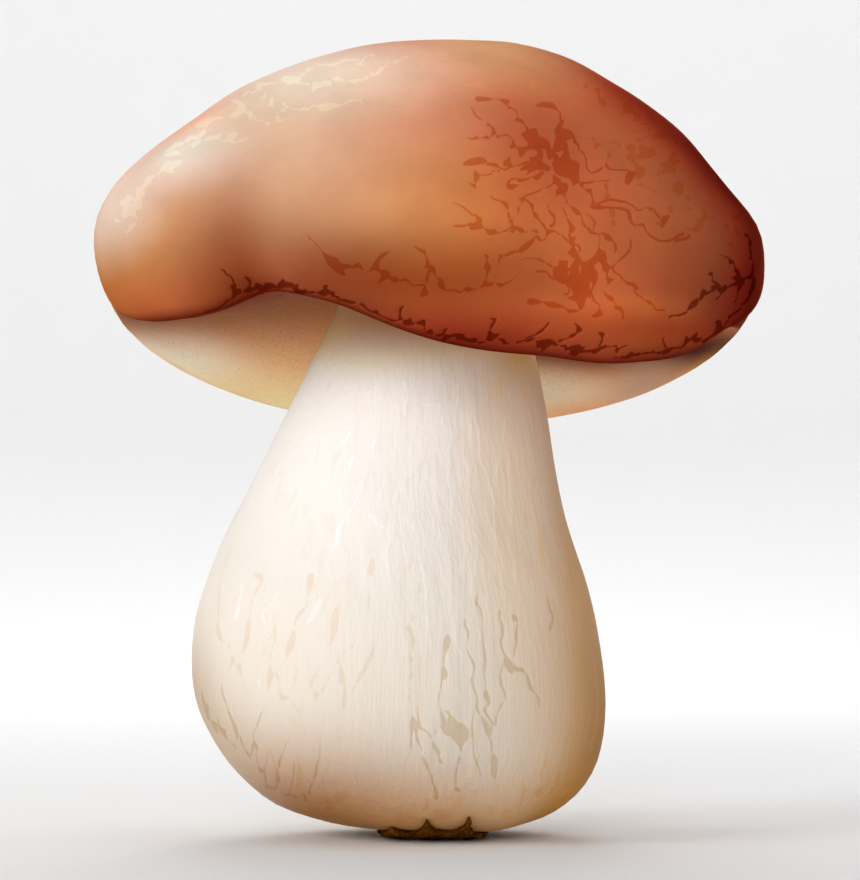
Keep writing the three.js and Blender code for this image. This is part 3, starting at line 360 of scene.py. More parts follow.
RIM_CRACKS = """
line -36.6,99,.1 -36.1,98.7,.17 -35.7,98,.16 -35.1,97.7,.12 -34.6,97.2,.16 -34.4,96.4,.17
patch -34.9,96.1 -34,96.3 -33.9,95.5 -33.2,95.5 -33,94.8 -33.4,94.5 -34.1,94 -34.9,93.5 -35.6,93 -35.8,93.2
    -35.6,93.6 -34.9,93.8 -34.6,94.4 -34.7,95.3
line -35.7,93.1,.14 -36.6,92.4,.16 -37.9,91.8,.14 -38.6,91.5,.17 -39.4,91.3,.23
line -32.2,97.4,.23 -31.7,96.9,.28 -31.5,96.4,.19 -31.8,95.7,.14 -32.3,95.2,.16 -32.7,94.9,.12
patch -32.7,94.9 -32.1,95.2 -31.6,95.7 -30.7,95.8 -30.6,96.4 -29.7,96.3 -29.1,96 -28.8,96.5 -27.4,96.4
    -26.9,96 -26.5,96.5 -25.9,97.2 -25.4,96.7 -24.3,96.6 -23.6,96.1 -23.1,96.3 -23,95.4 -22.2,95.3
    -21.8,95.5 -21.5,95 -20.6,95.1 -20,94.8 -20.9,94.7 -21.9,94.6 -22.6,94.4 -23.4,94.6 -23.9,95.3
    -24.4,95.6 -25.4,95.7 -26.4,95.5 -27.6,95.6 -28.6,95.2 -29.7,95 -30.1,95.3 -30.9,95.1 -31.5,94.7
    -32.1,94.8
patch -20,94.8 -19.4,95 -18.7,95.4 -18.7,96 -17.9,96.1 -18.1,95.5 -17.4,95.1 -16.7,94.9 -16.7,94.3 -16,94.1
    -15.9,93.7 -14.8,93.6 -13.1,93.1 -13.4,92.8 -14.8,93 -15.6,93.4 -16.1,93.4 -16.6,93.9 -17.4,94.1
    -17.6,94.5 -18.5,94.2 -19.4,94.4
patch -12.4,92.6 -11.9,93 -11.3,92.4 -10.3,91.6 -9.3,91.7 -8.9,90.9 -9.4,91 -10.1,91.3 -11.3,91.9 -12,92.5
line -8.9,90.9,.09 -7.8,90.5,.1 -7.2,90.2,.14
patch -7.2,90.3 -6.5,90.1 -5.6,90.2 -5.5,91.3 -5.4,92.2 -4.6,92.6 -4.9,91.9 -5.1,90.8 -4.7,90.1 -5.2,90
    -6.4,89.7 -7,89.9
patch -4.7,90 -4,90.1 -3.4,90.5 -3.1,89.8 -2.6,89.4 -3.3,89.1 -4.4,89.1 -4.7,89.5
patch -2.6,89.4 -1.8,89.9 -0.9,90.1 -0.8,88.9 -1.5,89.1 -2.1,89.2
line -1,88.8,.09 -1,88.5,.16
patch -0.8,88 0.3,88.4 0.5,87.5 -0.3,87.7
patch 1,87.4 1.9,87.7 2.4,88.2 1.9,88.1 2.4,88.4 3.1,88.7 2.8,88 2.2,87.4 1.6,87.1
patch 2.3,87.2 2.6,87.6 3.5,87.4 4.5,87.7 5.9,87.6 6.3,86.9 7.2,86.8 8.1,87 8.2,86.2 7.2,86.1 6,86.4
    4.7,86.6 4.3,87.1 3.3,86.7 2.6,86.4 2.1,86.6
patch 8.3,86.2 9.3,86.3 9.8,86.3 9.2,86 8.6,85.9
patch 10,86.5 10.1,87.7 10.5,88.4 11.1,87.7 12.2,87.7 11.7,87.1 11,86.5
patch 10.4,88.5 10.5,89.2 11,89.9 10.6,90.5 11.7,90.4 11.2,89.4 10.6,88.5
patch 11.8,87 12.4,86.9 13.1,86.7 13.5,86.1 14.1,85.9 12.9,85.8 12.7,86.3 12.2,86.7
line 15.2,86.2,.17 16.4,86.4,.12 17.3,87.1,.12 18.5,87.5,.1
patch 16.8,86.3 17.5,86.9 18.4,87.1 18,86.6 17.1,86.2
line 18.5,87.5,.1 19.4,88.2,.23 20.2,88.8,.16 20.7,89.5,.16 20.8,89.8,.07
patch 18.4,86.5 19.2,86.5 20.9,86.8 21.8,86.4 22.5,85.6 21.9,85.4 21.5,85.7 20.6,85.2 19.6,84.5 19.6,85.2
    18.7,85.1 18.7,86
patch 22.4,86.3 22.9,86.7 23.4,86.6 22.8,86.1
line 23.4,86.6,.1 24.5,86.9,.1
patch 24.4,86.9 24.7,87.5 25.8,88 26.2,88.1 25.7,87.5 25,87
patch 25.3,89.5 26.1,89.2 26.7,88.2 26,87.8 25.6,88.2 25.7,88.9
patch 22.8,85.5 23.9,85.7 24.1,85.2 24.8,85.5 26.2,85.8 26.6,85.3 27.4,85.3 26.9,84.8 28.1,84.8 29.4,85.2
    30.4,85.6 30.9,85.7 30.9,85.2 30.1,84.9 29.4,84.3 28.8,84 28.2,84.3 27.1,84.2 26.1,84.1 25.4,83.6
    24.5,84 24.6,84.7 23.7,84.6 23.6,85.1 22.9,85.3
line 30.9,85.4,.1 31.7,85.3,.1
patch 29.5,88 30.6,87.7 30.2,86.8 29.9,87.3
line 30.2,86.9,.12 30.1,86.3,.16 29.7,85.5,.14
patch 31.7,85.3 32.9,85.7 32.8,85.2 33.6,85.1 33.2,84.7 32.7,84.1 32.5,84.8 32.6,85.3
line 33.6,85.1,.1 34.5,85.6,.1
patch 32,83.5 32.9,83.5 33.2,83.4 33.8,83.7 34.2,83.6 35.4,84.5 35.7,84.1 36.8,84.3 36.8,83.8 35.6,83.6
    34.6,83.2 33.4,83.3 32.4,83.4
line 36.9,83.9,.09 37.6,84.1,.19 38.5,84.2,.14
patch 38.6,84.2 39.4,84.7 39.6,84.3 40.9,84.6 41.1,84.3 40.2,84 39.4,84.1
patch 40.8,84.6 41.6,85 42.8,85.3 42.8,84.9 41.7,84.2 40.8,83.8 40.9,84.2
patch 41.3,87.1 41.1,86.5 41.4,85.8 41.6,85 41.2,85.3 40.9,86.2 40.9,86.8
line 42.9,85,.1 43.2,85.1,.16 43.9,85.1,.14
patch 43.8,85.1 44.5,85.8 45,87.3 45.6,86.9 46.9,88 46.9,87 47.7,87.1 47.5,86.4 46.9,86.1 46.3,86.2
    46.1,86.6 45.5,86.2 44.6,85.3 44,84.9
patch 47.7,86.5 48.6,87 49.3,87.5 49.8,88.2 50.2,89.2 49.9,89.8 50.9,90.2 51.2,89.5 51.2,88.6 50.9,87.7
    50.3,86.9 49.5,86.6 49.7,87.3 49,86.8 48.2,86.1 47.7,86
line 51.2,88.5,.17 51.6,89.1,.14 52.3,90,.17
patch 52.4,90.8 53.2,91.3 53.8,91.7 54.5,92.1 54.8,92.6 54.7,91.9 53.9,91.3 53.2,90.8 52.5,90.2
patch 56.8,100.6 57,99.1 57,97.8 57.3,97.3 57.1,95.8 56.5,94.5 55.8,93.3 54.9,92.7 54.8,93 55.6,93.7
    56.1,94.5 56,94.9 56.4,96 56.7,97.1 56.2,97.3 55.1,97.1 54.4,96.9 55.1,97.5 56.1,97.9 56.5,98.9
patch 53.4,98.8 53.9,99.2 54.5,98.8 54.6,98.1 54.9,97.6 55.3,97.2 55.4,96.8 54.9,96 54.6,95.5 54,95.4
    54.1,96 53.2,96 52.3,95.7 51.6,94.9 51,94.8 50.3,95.5 49.4,95.6 49.4,96.1 50.5,96.2 51.2,95.9 51.9,96.4
    52.3,96 53,96.5 53.7,96.7 53.5,97.3 53,97.5 53.7,97.9 53.8,98.3
patch 52.4,101 53,100.7 53.5,100.2 53.6,99.6 53.3,99.9 52.6,100 52.5,100.5
line 50.9,101.5,.07 51.6,101.4,.09 52.4,101,.12
line 53.5,99.7,.17 53.8,99.1,.14
patch 55.1,105.2 55.6,105.4 55.9,105.1 56,104.6 55.5,104.8
line 56,104.6,.12 56.2,104.1,.14
patch 56.1,104.4 56.5,103.9 56.5,103.2 56.2,103 55.9,103.4 56,103.9
line 56.1,102.9,.1 56.3,102.2,.14 56.5,101.5,.17
patch 56.3,101.4 56.6,100.8 56.1,100.8
line 42.1,90.6,.16 42.3,90.8,.17 43,90.9,.1 43.9,91,.19 45,91.5,.17
patch 45.1,91.7 45.3,92.5 45.7,93.2 46.7,93.9 47.2,93.8 47,93.1 46.5,92.5 45.7,92
patch 47.2,93.8 47.5,95.2 47.9,95.6 48.4,95.1 48.7,94.8 48.1,94.4 47.5,93.6
line 48.5,94.8,.16 49,95.1,.21 49.5,95.3,.23 50,95.6,.17
patch 48.7,98 49.2,98.6 49.6,98.3 49.6,97.4 49.3,97.9
line 49.5,97.5,.09 49.6,96.9,.1
line 49.6,96.9,.17 50.2,96.6,.23 50.9,96.2,.19
line 51.2,94.8,.14 50.8,94.3,.1 50.3,93.9,.17
line 54.3,95.4,.14 54.1,94.3,.09 53.7,93.4,.1 53.5,93.3,.09
"""
CAP_SCUFFS = """
patch -54.4,110.7 -53.5,111.5 -53.1,112 -52.2,112 -51.6,111.5 -51.2,113.3 -50.8,113.2 -50.3,114 -50,114
    -49.4,115.4 -49.2,115.1 -48.6,115.6 -48,115.2 -48.6,114.6 -48.6,114 -49.2,113.9 -50,112.9 -49.8,112.1
    -50.3,111.7 -50.3,110.5 -50.6,109.5 -51.5,109.2 -51.1,107.8 -51.4,107.4 -51.6,106.4 -52.1,106
    -52.5,105.5 -52.9,105.2 -53.3,105.8 -52.8,105.9 -52.5,106.8 -52,107 -51.4,107.7 -51.8,108.2 -52.7,108.3
    -53.6,107.6 -54.7,107.1 -55.1,107.4 -55.1,108 -54,107.5 -53.5,108.1 -54.1,108.6 -53.8,109.5 -53.9,110.1
hole -52.6,110.2 -52.2,110.9 -51.8,110.8 -52.2,110.4
line -48,115.3,.1 -47.5,115.5,.14 -47.1,116,.17
patch -47,116.4 -46.6,117.1 -45.7,118 -45.4,117.9 -44.6,118 -43.3,118.1 -43.5,117.4 -44.4,116.7 -45,116.5
    -44.7,115.8 -45.5,115.8 -46.4,116 -46.9,116
patch -46.5,118.9 -45.5,119.5 -44.6,119.8 -43.8,119.6 -43.8,119 -44.8,118.9 -45.7,118.7
patch -46.6,119.6 -45.7,120.3 -44.8,121.1 -44.1,121.3 -43.1,121.1 -43.4,120.6 -44.4,120.3 -45.7,119.7
patch -43.1,121.3 -42.4,122.2 -41.8,122.5 -41.1,122.3 -40.2,122.9 -39.6,123.6 -39.1,123.1 -39.7,122.4
    -40.6,121.7 -41.7,121.7 -42.4,121.3
patch -41.8,120.9 -40.9,121.5 -39.8,121.7 -40.2,121.2 -41.1,120.3 -41.6,120.2
patch -41.2,124.1 -40.2,124.9 -38.9,125.6 -37.6,125.8 -36.4,125.8 -36.5,125.3 -37.3,125.4 -38.1,124.8
    -38.8,124.4 -39,123.8 -39.5,124 -40,123.8 -40.8,123.8
patch -39.8,121.6 -38.5,122.3 -37,122.6 -36.4,122.8 -36.8,122.1 -37.8,121.7 -38.9,121.6
line -37,122,.1 -36.5,121.5,.16 -35.4,121.4,.19 -34.6,121.3,.16
patch -35.5,121.7 -35.2,122.5 -34.5,123.1 -33.8,123.1 -33.5,122.7 -34,122 -34.6,121.4 -35.2,121.4
line -34.8,121.2,.14 -33.8,121.2,.17 -32.8,121.5,.16 -32.1,121.8,.12 -31.5,122.1,.07
patch -34.7,128.9 -33.4,128.6 -32.1,127.5 -32.2,127 -31.5,126.9 -30.8,126.1 -31.2,125.4 -31.8,125.2
    -31.9,126.1 -32.5,126.6 -33.2,126.1 -34,125.6 -35.4,125.8 -35,126.1 -33.7,127.3 -33.7,128 -34.6,128.3
line -30.6,125.9,.1 -30.5,125.1,.14 -29.3,125.1,.16
patch -29,125 -28.1,124.9 -27.6,124.8 -28.1,124.2 -28.6,124.1
line -27.6,124.8,.09 -27.1,124.8,.12 -26.2,125,.17 -25.4,125.3,.09
patch -27.1,125.6 -26.6,126 -26.4,125.7 -26.4,125.1 -27,125.2
patch -33.1,129.2 -32.2,130.2 -31.6,130.4 -31.5,130.1 -30.6,130.5 -30.5,131.5 -29.9,131.8 -28.6,131.8
    -26.8,131.8 -27.1,131.7 -28.6,131.4 -29.5,131.1 -29.4,130.5 -30.3,130.4 -31.1,129.8 -31.8,130
    -32.5,129.4
patch -26.1,132 -25.7,132.9 -23.6,132.9 -22.3,132.6 -22.8,132.3 -22.5,131.5 -23.9,131.8 -24.9,131.4
    -25.1,131.8
patch -22.8,131.8 -21.3,131.8 -20.9,131.4 -21.9,131.5
patch -20.6,131.8 -19.2,132 -17.5,132.1 -17.2,131.2 -17.8,131.2 -18.7,131.1 -20.4,130.3 -20.7,130.4
patch -17.2,132.3 -16.5,132.7 -15.7,132.6 -14.9,132 -14.9,131.5 -15.5,131.8 -16.3,131.9
patch -14.4,132.1 -12.5,132.3 -11.8,132.1 -12.5,131.7 -13.4,131.5 -14.2,131.8
patch -11.8,132.3 -11.4,132.8 -10.5,132.7 -11.1,132.2
patch -10.4,132.9 -10.2,133.6 -9.6,133.3 -8.8,134.3 -7.9,134.5 -8.2,133.9 -9.2,132.9
line -7.7,134.5,.1 -7.4,135.2,.14
patch -7.4,135.3 -6.1,135.4 -5.1,135.8 -5.8,134.9 -6.4,135.1
line -5,136,.09 -4.1,136.1,.14
patch -21.6,134.3 -20.7,134.3 -20,134.6 -20.6,134.2 -21.6,133.7
line -19.7,134.8,.17 -18.7,134.8,.17 -17.2,134.7,.23 -15.7,135.2,.17 -14.6,135.5,.17
patch -15.5,135.5 -14.3,136.1 -14.1,135.7 -12.4,135.8 -12.5,135.4 -14.3,135.3
patch -13.4,135 -12.2,135 -11.4,134.5 -12.4,134.7
line -12.1,135,.17 -11.7,135.6,.21 -11.1,136.2,.17
patch -10.7,136.6 -9.8,136.7 -9.5,136.4 -10.2,136.1
line -22.9,133,.09 -22,133.3,.12
line -30,129.2,.14 -28.7,129.2,.16
line -28.7,130.2,.14 -29.1,129.4,.17
patch -28,129.1 -27.5,129.2 -27.6,127.9 -28.3,127.9
line -26.1,128.5,.14 -25.7,128.2,.21 -25.1,127.6,.23 -24.2,127.2,.17 -23.3,127.1,.14
patch -26,127.3 -25.4,127.4 -25.1,126.7 -26,126.6 -26.2,127
patch -23,127 -22.2,127.5 -21,127.3 -21.4,126.8 -22.5,126.8
line -21,127.5,.1 -20.4,127.7,.16 -19.7,127.5,.12
patch -19.7,127.7 -18.7,128 -16.9,128.1 -15.5,127.9 -16,127.3 -17.8,126.8 -19,126.7 -19.5,127.2
line -15.3,127.6,.12 -14.7,128.1,.17 -14,128.4,.17 -12.5,128.6,.14 -12.1,128.5,.17 -11.5,127.7,.09
"""
STEM_STRANDS = """
patch -40.1,25.7 -39.5,23.6 -38.7,22.6 -38.6,21.3 -38.4,20.1 -39,20.6 -39.6,22.6 -40.1,24.1
line -38.4,20.1,.12 -37.6,19.4,.17 -36.8,19.1,.14
patch -38.1,19.9 -37.4,19.8 -37,18.9 -36.8,17.8 -37.5,18.5
line -37.1,20.9,.05 -36.9,19.4,.14
patch -36.8,19.3 -36.2,18.6 -35.6,18.4 -35.5,17.5 -35.2,16.5 -35.9,17.2 -36.7,18.5
line -35.2,16.5,.07 -34.1,15.7,.09 -33.9,15,.09
line -36.5,26.4,.05 -36.5,25.1,.14 -36,23.6,.14 -35.7,22.6,.1
patch -35.7,22.6 -35.1,21.5 -34.6,20.5 -33.9,19.1 -33.5,17.7 -33.6,16.7 -34,17.3 -34.5,19 -35.2,20.5
    -35.5,21.7
line -33.7,16.8,.1 -34,15.9,.07
patch -33.2,17.4 -33,17.3 -32.7,16.4 -32.3,15.1 -31.7,14.5 -31.4,14 -31.2,13.2 -31.9,14 -32.6,15.4
    -33.2,16.8
line -28.8,22.8,.05 -29.4,21.5,.1 -29.8,20.5,.14 -30.4,18.9,.16 -30.8,18,.14 -30.9,16.8,.09
patch -30.8,16.7 -30.3,16 -29.9,15.1 -30.4,14.8 -30.6,15.5 -30.8,14.9 -31,14.1 -31.3,14 -31.2,15.1 -31,16.1
line -30.4,15.1,.05 -30.3,13.9,.1 -30,12.6,.12
patch -30,12.6 -29.7,11.9 -29.1,11.3 -29.6,10.8 -29.9,11.5
line -29.1,11.2,.17 -28.8,12.1,.14 -28.3,13.5,.1 -28.2,14.3,.07
line -29,11.2,.17 -28.8,10.1,.16 -28.6,9.1,.17
patch -28.8,9.1 -28.3,8.5 -27.6,8.2 -27.1,8.5 -26.9,9.1 -26.5,9.3 -26.8,8.1 -27.2,7.7 -28.2,8 -28.8,8.2
patch -26.8,11.7 -26.4,10.9 -26.2,9.9 -26.5,9 -26.9,9.1 -26.8,10.4
patch -26.5,13.1 -26,13.4 -26.2,11.8 -26.6,11.7
line -26.2,13.1,.17 -25.5,14.9,.1 -25,16.3,.09 -24.4,17.3,.07
patch -26.2,7.8 -25.5,7.1 -24.7,7.4 -24.4,7 -24.7,6.7 -25.5,6.8 -25.9,7.1
line -24.7,7.3,.17 -24.3,8.4,.14 -24,10,.16 -23.8,11.5,.14 -23.7,12.8,.09
line -24.4,7,.14 -23.7,6.6,.16
patch -23.7,6.9 -23,6.8 -22.5,7.2 -21.8,7.3 -21.7,6.9 -21.5,6.1 -22,5.7 -22.2,5.9 -22.1,6.8 -22.6,6.8
    -23.3,6.4
patch -21.3,7.1 -20.9,7.1 -20.9,7.9 -20.4,8.6 -20.4,9.3 -20.8,9 -21.2,8.1
line -20.3,9.4,.12 -19.9,11,.26 -19.8,12.1,.24 -19.3,13.6,.12 -19.2,15.7,.09 -19.1,17.8,.05
patch -3.1,20.9 -2.4,19.9 -2.1,19 -2.1,17.1 -1.5,15.6 -1.5,13.9 -1.8,15.4 -2.4,16.6 -2.7,18.4 -3,17.9
    -3.1,15.1 -3.4,15.4 -3.4,17.7 -3.5,19.1
patch -1.5,13.9 -0.4,12.6 -0.1,11.4 -0.5,11.5 -1.2,12.8
line -0.1,11.4,.16 0.3,10,.16 0.5,8.9,.21
patch 0.5,9 1.3,7.9 1.4,6.1 0.6,6.5 0.8,7.4
line -2.1,22.4,.12 -2,20.6,.17 -1.8,18.9,.28 -1,18.4,.17 -0.2,17.8,.16 0.2,16.9,.16
patch 0.4,16.5 1,15.6 0.5,14.9 0.4,15.9
patch 1,15.6 1.8,14.6 1.8,13.5 2.7,12.2 1.6,12.8 1.5,13.5 0.8,14.9
line 2.6,31.5,.14 2.4,30.6,.17 2.4,29.7,.09
patch 3.1,35.2 3.7,34.1 3.3,32.6 2.6,31.5 2.4,33.1 2.5,34.1
patch 2.4,29.7 3.2,28.2 2.9,27.4 2,27.1 2.1,28.6
line 2,26.9,.17 1.8,25.4,.14 1.5,23.8,.17 1.8,22.1,.1
patch 1.8,22.1 2.4,21.2 2.9,19.9 3.1,21.2 2.4,21.8 3.3,21.8 3.7,21 5.2,19.6 5.8,19.6 6.9,18.1 6.5,16.4
    5.9,15.9 5.5,14.4 4.9,15.7 3.5,17.3 2.7,17.5 2,18.6 1.4,18.4 0.9,17.3 1,18.1 1.8,19.1
line 5.3,13.6,.21 5,12.4,.16
patch 4.9,12.4 4.9,10.9 4.6,10.4 4.3,10.3 4.4,11.1
line 4.5,10.1,.17 4.5,8.8,.16
patch 4.4,8.4 4.9,8.2 5.5,7.8 4.9,7.4 4.4,7.8
line 8.4,42.4,.07 8.2,41.4,.21 8.2,40.4,.28 8.6,40.1,.12 9,39.2,.16 9.3,37.6,.1 9.3,36.1,.1 9.3,34.1,.17
    9.5,32.2,.23 9.6,30.4,.3 9.5,28.4,.17 9.6,26.9,.16 9.7,25.7,.1
patch 9.7,25.5 10.3,24.4 10.6,23 9.9,22.2 9.9,21.5 10.8,20.1 10.8,19.1 10.3,20.1 9.4,21.5 9.4,22.2 10,23
    9.3,24.4
patch 8.8,20.9 9.9,19.9 10.5,18.9 10.6,17.5 10.5,16.7 9.6,18.3
line 10.7,16.6,.17 10.8,15.6,.16 10.8,14.5,.12
patch 10.9,14.2 11.9,13.2 11.8,10.9 11.5,9.8 10.8,10.5 10.7,11.9
line 6.3,37.9,.12 6.1,36.9,.23 6.5,36.1,.17 6.8,35.1,.21 6.6,33.9,.1 6.5,32.6,.09 7.1,31.1,.17 7.8,29.7,.23
    7.6,28.2,.12 7.3,26.9,.23 7.9,25.1,.19 8.3,23.6,.16 8.2,22.4,.24 8.6,21.2,.17
line 7.9,21.9,.09 7.4,20.1,.12 7.4,18.4,.16
patch 7.5,18.6 7.7,17.1 7.5,16.7 7.2,17.5
line 7.6,16.6,.12 7.6,14.9,.12 7.9,13.3,.19 8.4,12.1,.17 8.9,10.7,.12 9,10,.07
patch 12,39.3 12.3,39.3 12.4,38.4 12.1,37.7
line 12.3,37.8,.14 12.8,36.4,.21 12.8,35,.21 12.5,33.8,.19 12.8,32.5,.17 13.3,31.3,.17
patch 13.4,31.3 14.3,30.3 14.8,29 14.3,28.2 13.1,29.4 12.9,30.3
line 12.9,29.9,.14 12.4,28.2,.17 12.5,26.6,.21 13,25,.17 13.2,23.8,.17
patch 13,23.5 12.6,22.4 12.1,22.1 12.3,22.9
line 12.2,22,.14 11.6,20.6,.16 11.4,19.2,.24
line 10.9,19.8,.17 10.7,17.8,.16
patch 14.2,38.6 14.8,38.6 15.4,38 15.2,37.6 14.6,37.3
line 15.4,37.6,.1 15.1,35.7,.19 15.1,33.9,.26 14.9,32.4,.19 14.6,31,.07
patch 14.6,30.3 15.1,29.5 16.3,29.1 16.9,28.2 16.1,28.5 15,28.7
patch 16.9,28.2 17.5,27.4 17.8,26.1 18.5,24.6 17.6,25.3 17.1,26.1
line 18.5,24.7,.12 18.9,23.8,.16 19.2,22.8,.12 19.2,22,.05
line 20.4,42.1,.07 20.8,40.6,.17 21,39.4,.23 21.5,38.7,.24 21.5,37.4,.24 21.1,35.9,.21
"""
STEM_SHADES = """
line -36.4,44.5,.07 -36.9,41.4,.14 -37,40,.17 -37,37.6,.1
patch -37.1,37.8 -37.5,36.2 -37.3,34.7 -36.6,33.8 -36.2,34 -36.6,35.3 -36.9,36.8
line -36.2,33.9,.1 -35.7,33.5,.14
patch -35.9,33.5 -35,33.5 -35,32.5 -35.4,33
line -35,32.5,.09 -34.6,31.9,.12
patch -34.6,31.5 -34.1,29.9 -34.9,29.6 -35.1,28.2 -35.3,29.2 -35.1,30.3
patch -34.1,29.9 -33.2,29.9 -33.1,28.6 -32.7,26.5 -33.2,27.6
line -32.7,26.6,.09 -32.2,25.3,.14 -31.7,26.1,.14 -30.8,27.6,.07 -30.3,29.2,.09 -29.4,31.5,.14 -28.5,33.8,.1
    -27.6,35.5,.16 -26.9,36.9,.12 -26.2,38.3,.07
patch -31,45.4 -30.2,45.9 -29.5,45.8 -29.1,44.8 -29.5,43.6 -29.9,42.9 -30.6,42 -31.1,41.3 -30.6,42.9
    -29.7,44 -30.3,45.1
line -31.1,41.1,.16 -31.4,39.7,.12 -31.5,38.3,.14
patch -31.6,38.2 -31.4,36.5 -31.8,33.8 -32.4,32.4 -33.1,31.2 -32.8,33.5 -32.4,36.2 -31.8,37.9
patch -21.4,45.6 -20.3,45.9 -20.6,43.8 -21.4,41.3 -21.7,43.5 -21.7,44.9
line -21.5,41.1,.09 -21.7,40.2,.21 -22.6,39,.35 -23.3,38,.28 -23.8,36.6,.16
patch -23.8,36.2 -23.5,34.4 -23.9,32.7 -24.8,31.2 -25.4,30.6 -25.2,33 -24.5,34.7
line -25.4,30.6,.1 -26.1,29.6,.17
patch -26.2,29.6 -26.9,28.9 -27.3,28 -26.6,28 -26.3,27.1 -26.4,26.1 -26.1,25 -25.7,24.3 -25,24.3 -24.5,24.5
    -24.8,24 -25.5,23.4 -26.2,23.6 -26.4,24.7 -26.6,25.7 -26.5,26.9 -26.9,27.6
line -24.4,24.5,.14 -24,22.9,.16 -23.1,22,.17 -22.8,20.6,.1
line -22.7,22.2,.14 -22,23.8,.16 -21.4,24.8,.09
line -23.5,29.4,.1 -23.5,28.2,.24 -23.8,26.6,.21 -24.1,25.4,.12 -24.3,24.7,.09
line -27.1,35.5,.17 -27.2,34.1,.16 -27.9,32,.17 -28.1,30.3,.1
patch -28.1,30 -27.7,28.6 -27.3,28 -27.7,26.8 -28.3,25.2 -28.6,26 -28.5,27.7
patch -13.9,44.8 -14.6,43.2 -15.5,41.7 -15.9,40 -15.9,37.6 -16.3,35.3 -17.6,32.7 -18.7,31.1 -17.6,33.5
    -17.4,35.9 -17.1,38.5 -16,40.8 -15.2,42.3 -14.4,44.2
line -18.9,30.4,.1 -19.4,28.9,.16 -20.3,27.8,.23 -20.6,26.8,.26 -21.1,25.4,.1
patch -21,27.1 -19.5,28 -20.4,26.8 -21,25.2
line -10.4,43.2,.07 -10.7,41.1,.19 -10.9,39,.17 -11.4,37.6,.12 -12.1,36,.1
patch -12.1,35.9 -13.1,34.4 -13.4,32.7 -14.1,32.3 -13.6,33.5 -12.8,35
patch -13.7,32.5 -14.9,32.2 -16,31.2 -16.9,29.2 -16,30.3 -15.2,31.8
line -16.8,29.4,.1 -17.8,27.1,.24 -18.7,25.5,.28 -19.2,24.8,.17
patch -20.2,25.4 -19.5,24.7 -19.8,23.4 -20.3,23.7
patch -15.6,30.5 -15.2,28.6 -14.8,26.8 -14.6,23.9 -14.8,22.5 -15.2,21.9 -15.5,22.5 -15.2,24.8 -15.3,26.5
    -15.9,26.4 -15.9,28.9
patch -9,36 -9.6,33.8 -9.8,31.8 -11.1,28.9 -13.1,25.7 -14.6,22.5 -13.7,25.1 -12.5,28 -10.8,30.9 -10.1,33
patch -9.9,48.9 -9.7,47.5 -10.1,45.1 -10.9,45.8 -10.9,46.7 -10.5,48.1
line -3.5,39,.07 -3,38.1,.28 -3.4,37.1,.17
patch -4.4,36.2 -3.5,36.9 -3.1,35.9 -2.5,33.9 -3,32.6 -3.4,31.9 -3.4,33.4 -3.7,35.4
line -3.4,32,.17 -3.4,30.6,.23 -3.4,29.2,.16 -3.3,27.8,.24 -3.8,26.8,.16 -3.7,25.7,.14 -3.3,25.2,.16
    -3.6,24.1,.26 -3.3,22.9,.16 -3.2,21.2,.12
patch -3.7,31.5 -2.7,30.8 -3.5,30.3
patch -3.5,28.5 -2.7,27.8 -3.6,27.3
line 4,47.9,.16 3.8,46.6,.16 4,45.7,.12 3.7,43.9,.14 4,42.2,.14 4.1,40.9,.17 4,39.5,.19 3.8,38.7,.21
    3.3,37.9,.16 2.9,37.1,.12 2.9,35.9,.12 3.1,35.2,.07
patch -1.8,44.5 -1.5,43.1 -1.9,42 -2.6,40.5 -3.1,40.4 -2.4,41.4 -2.1,42.6 -2.1,44
"""
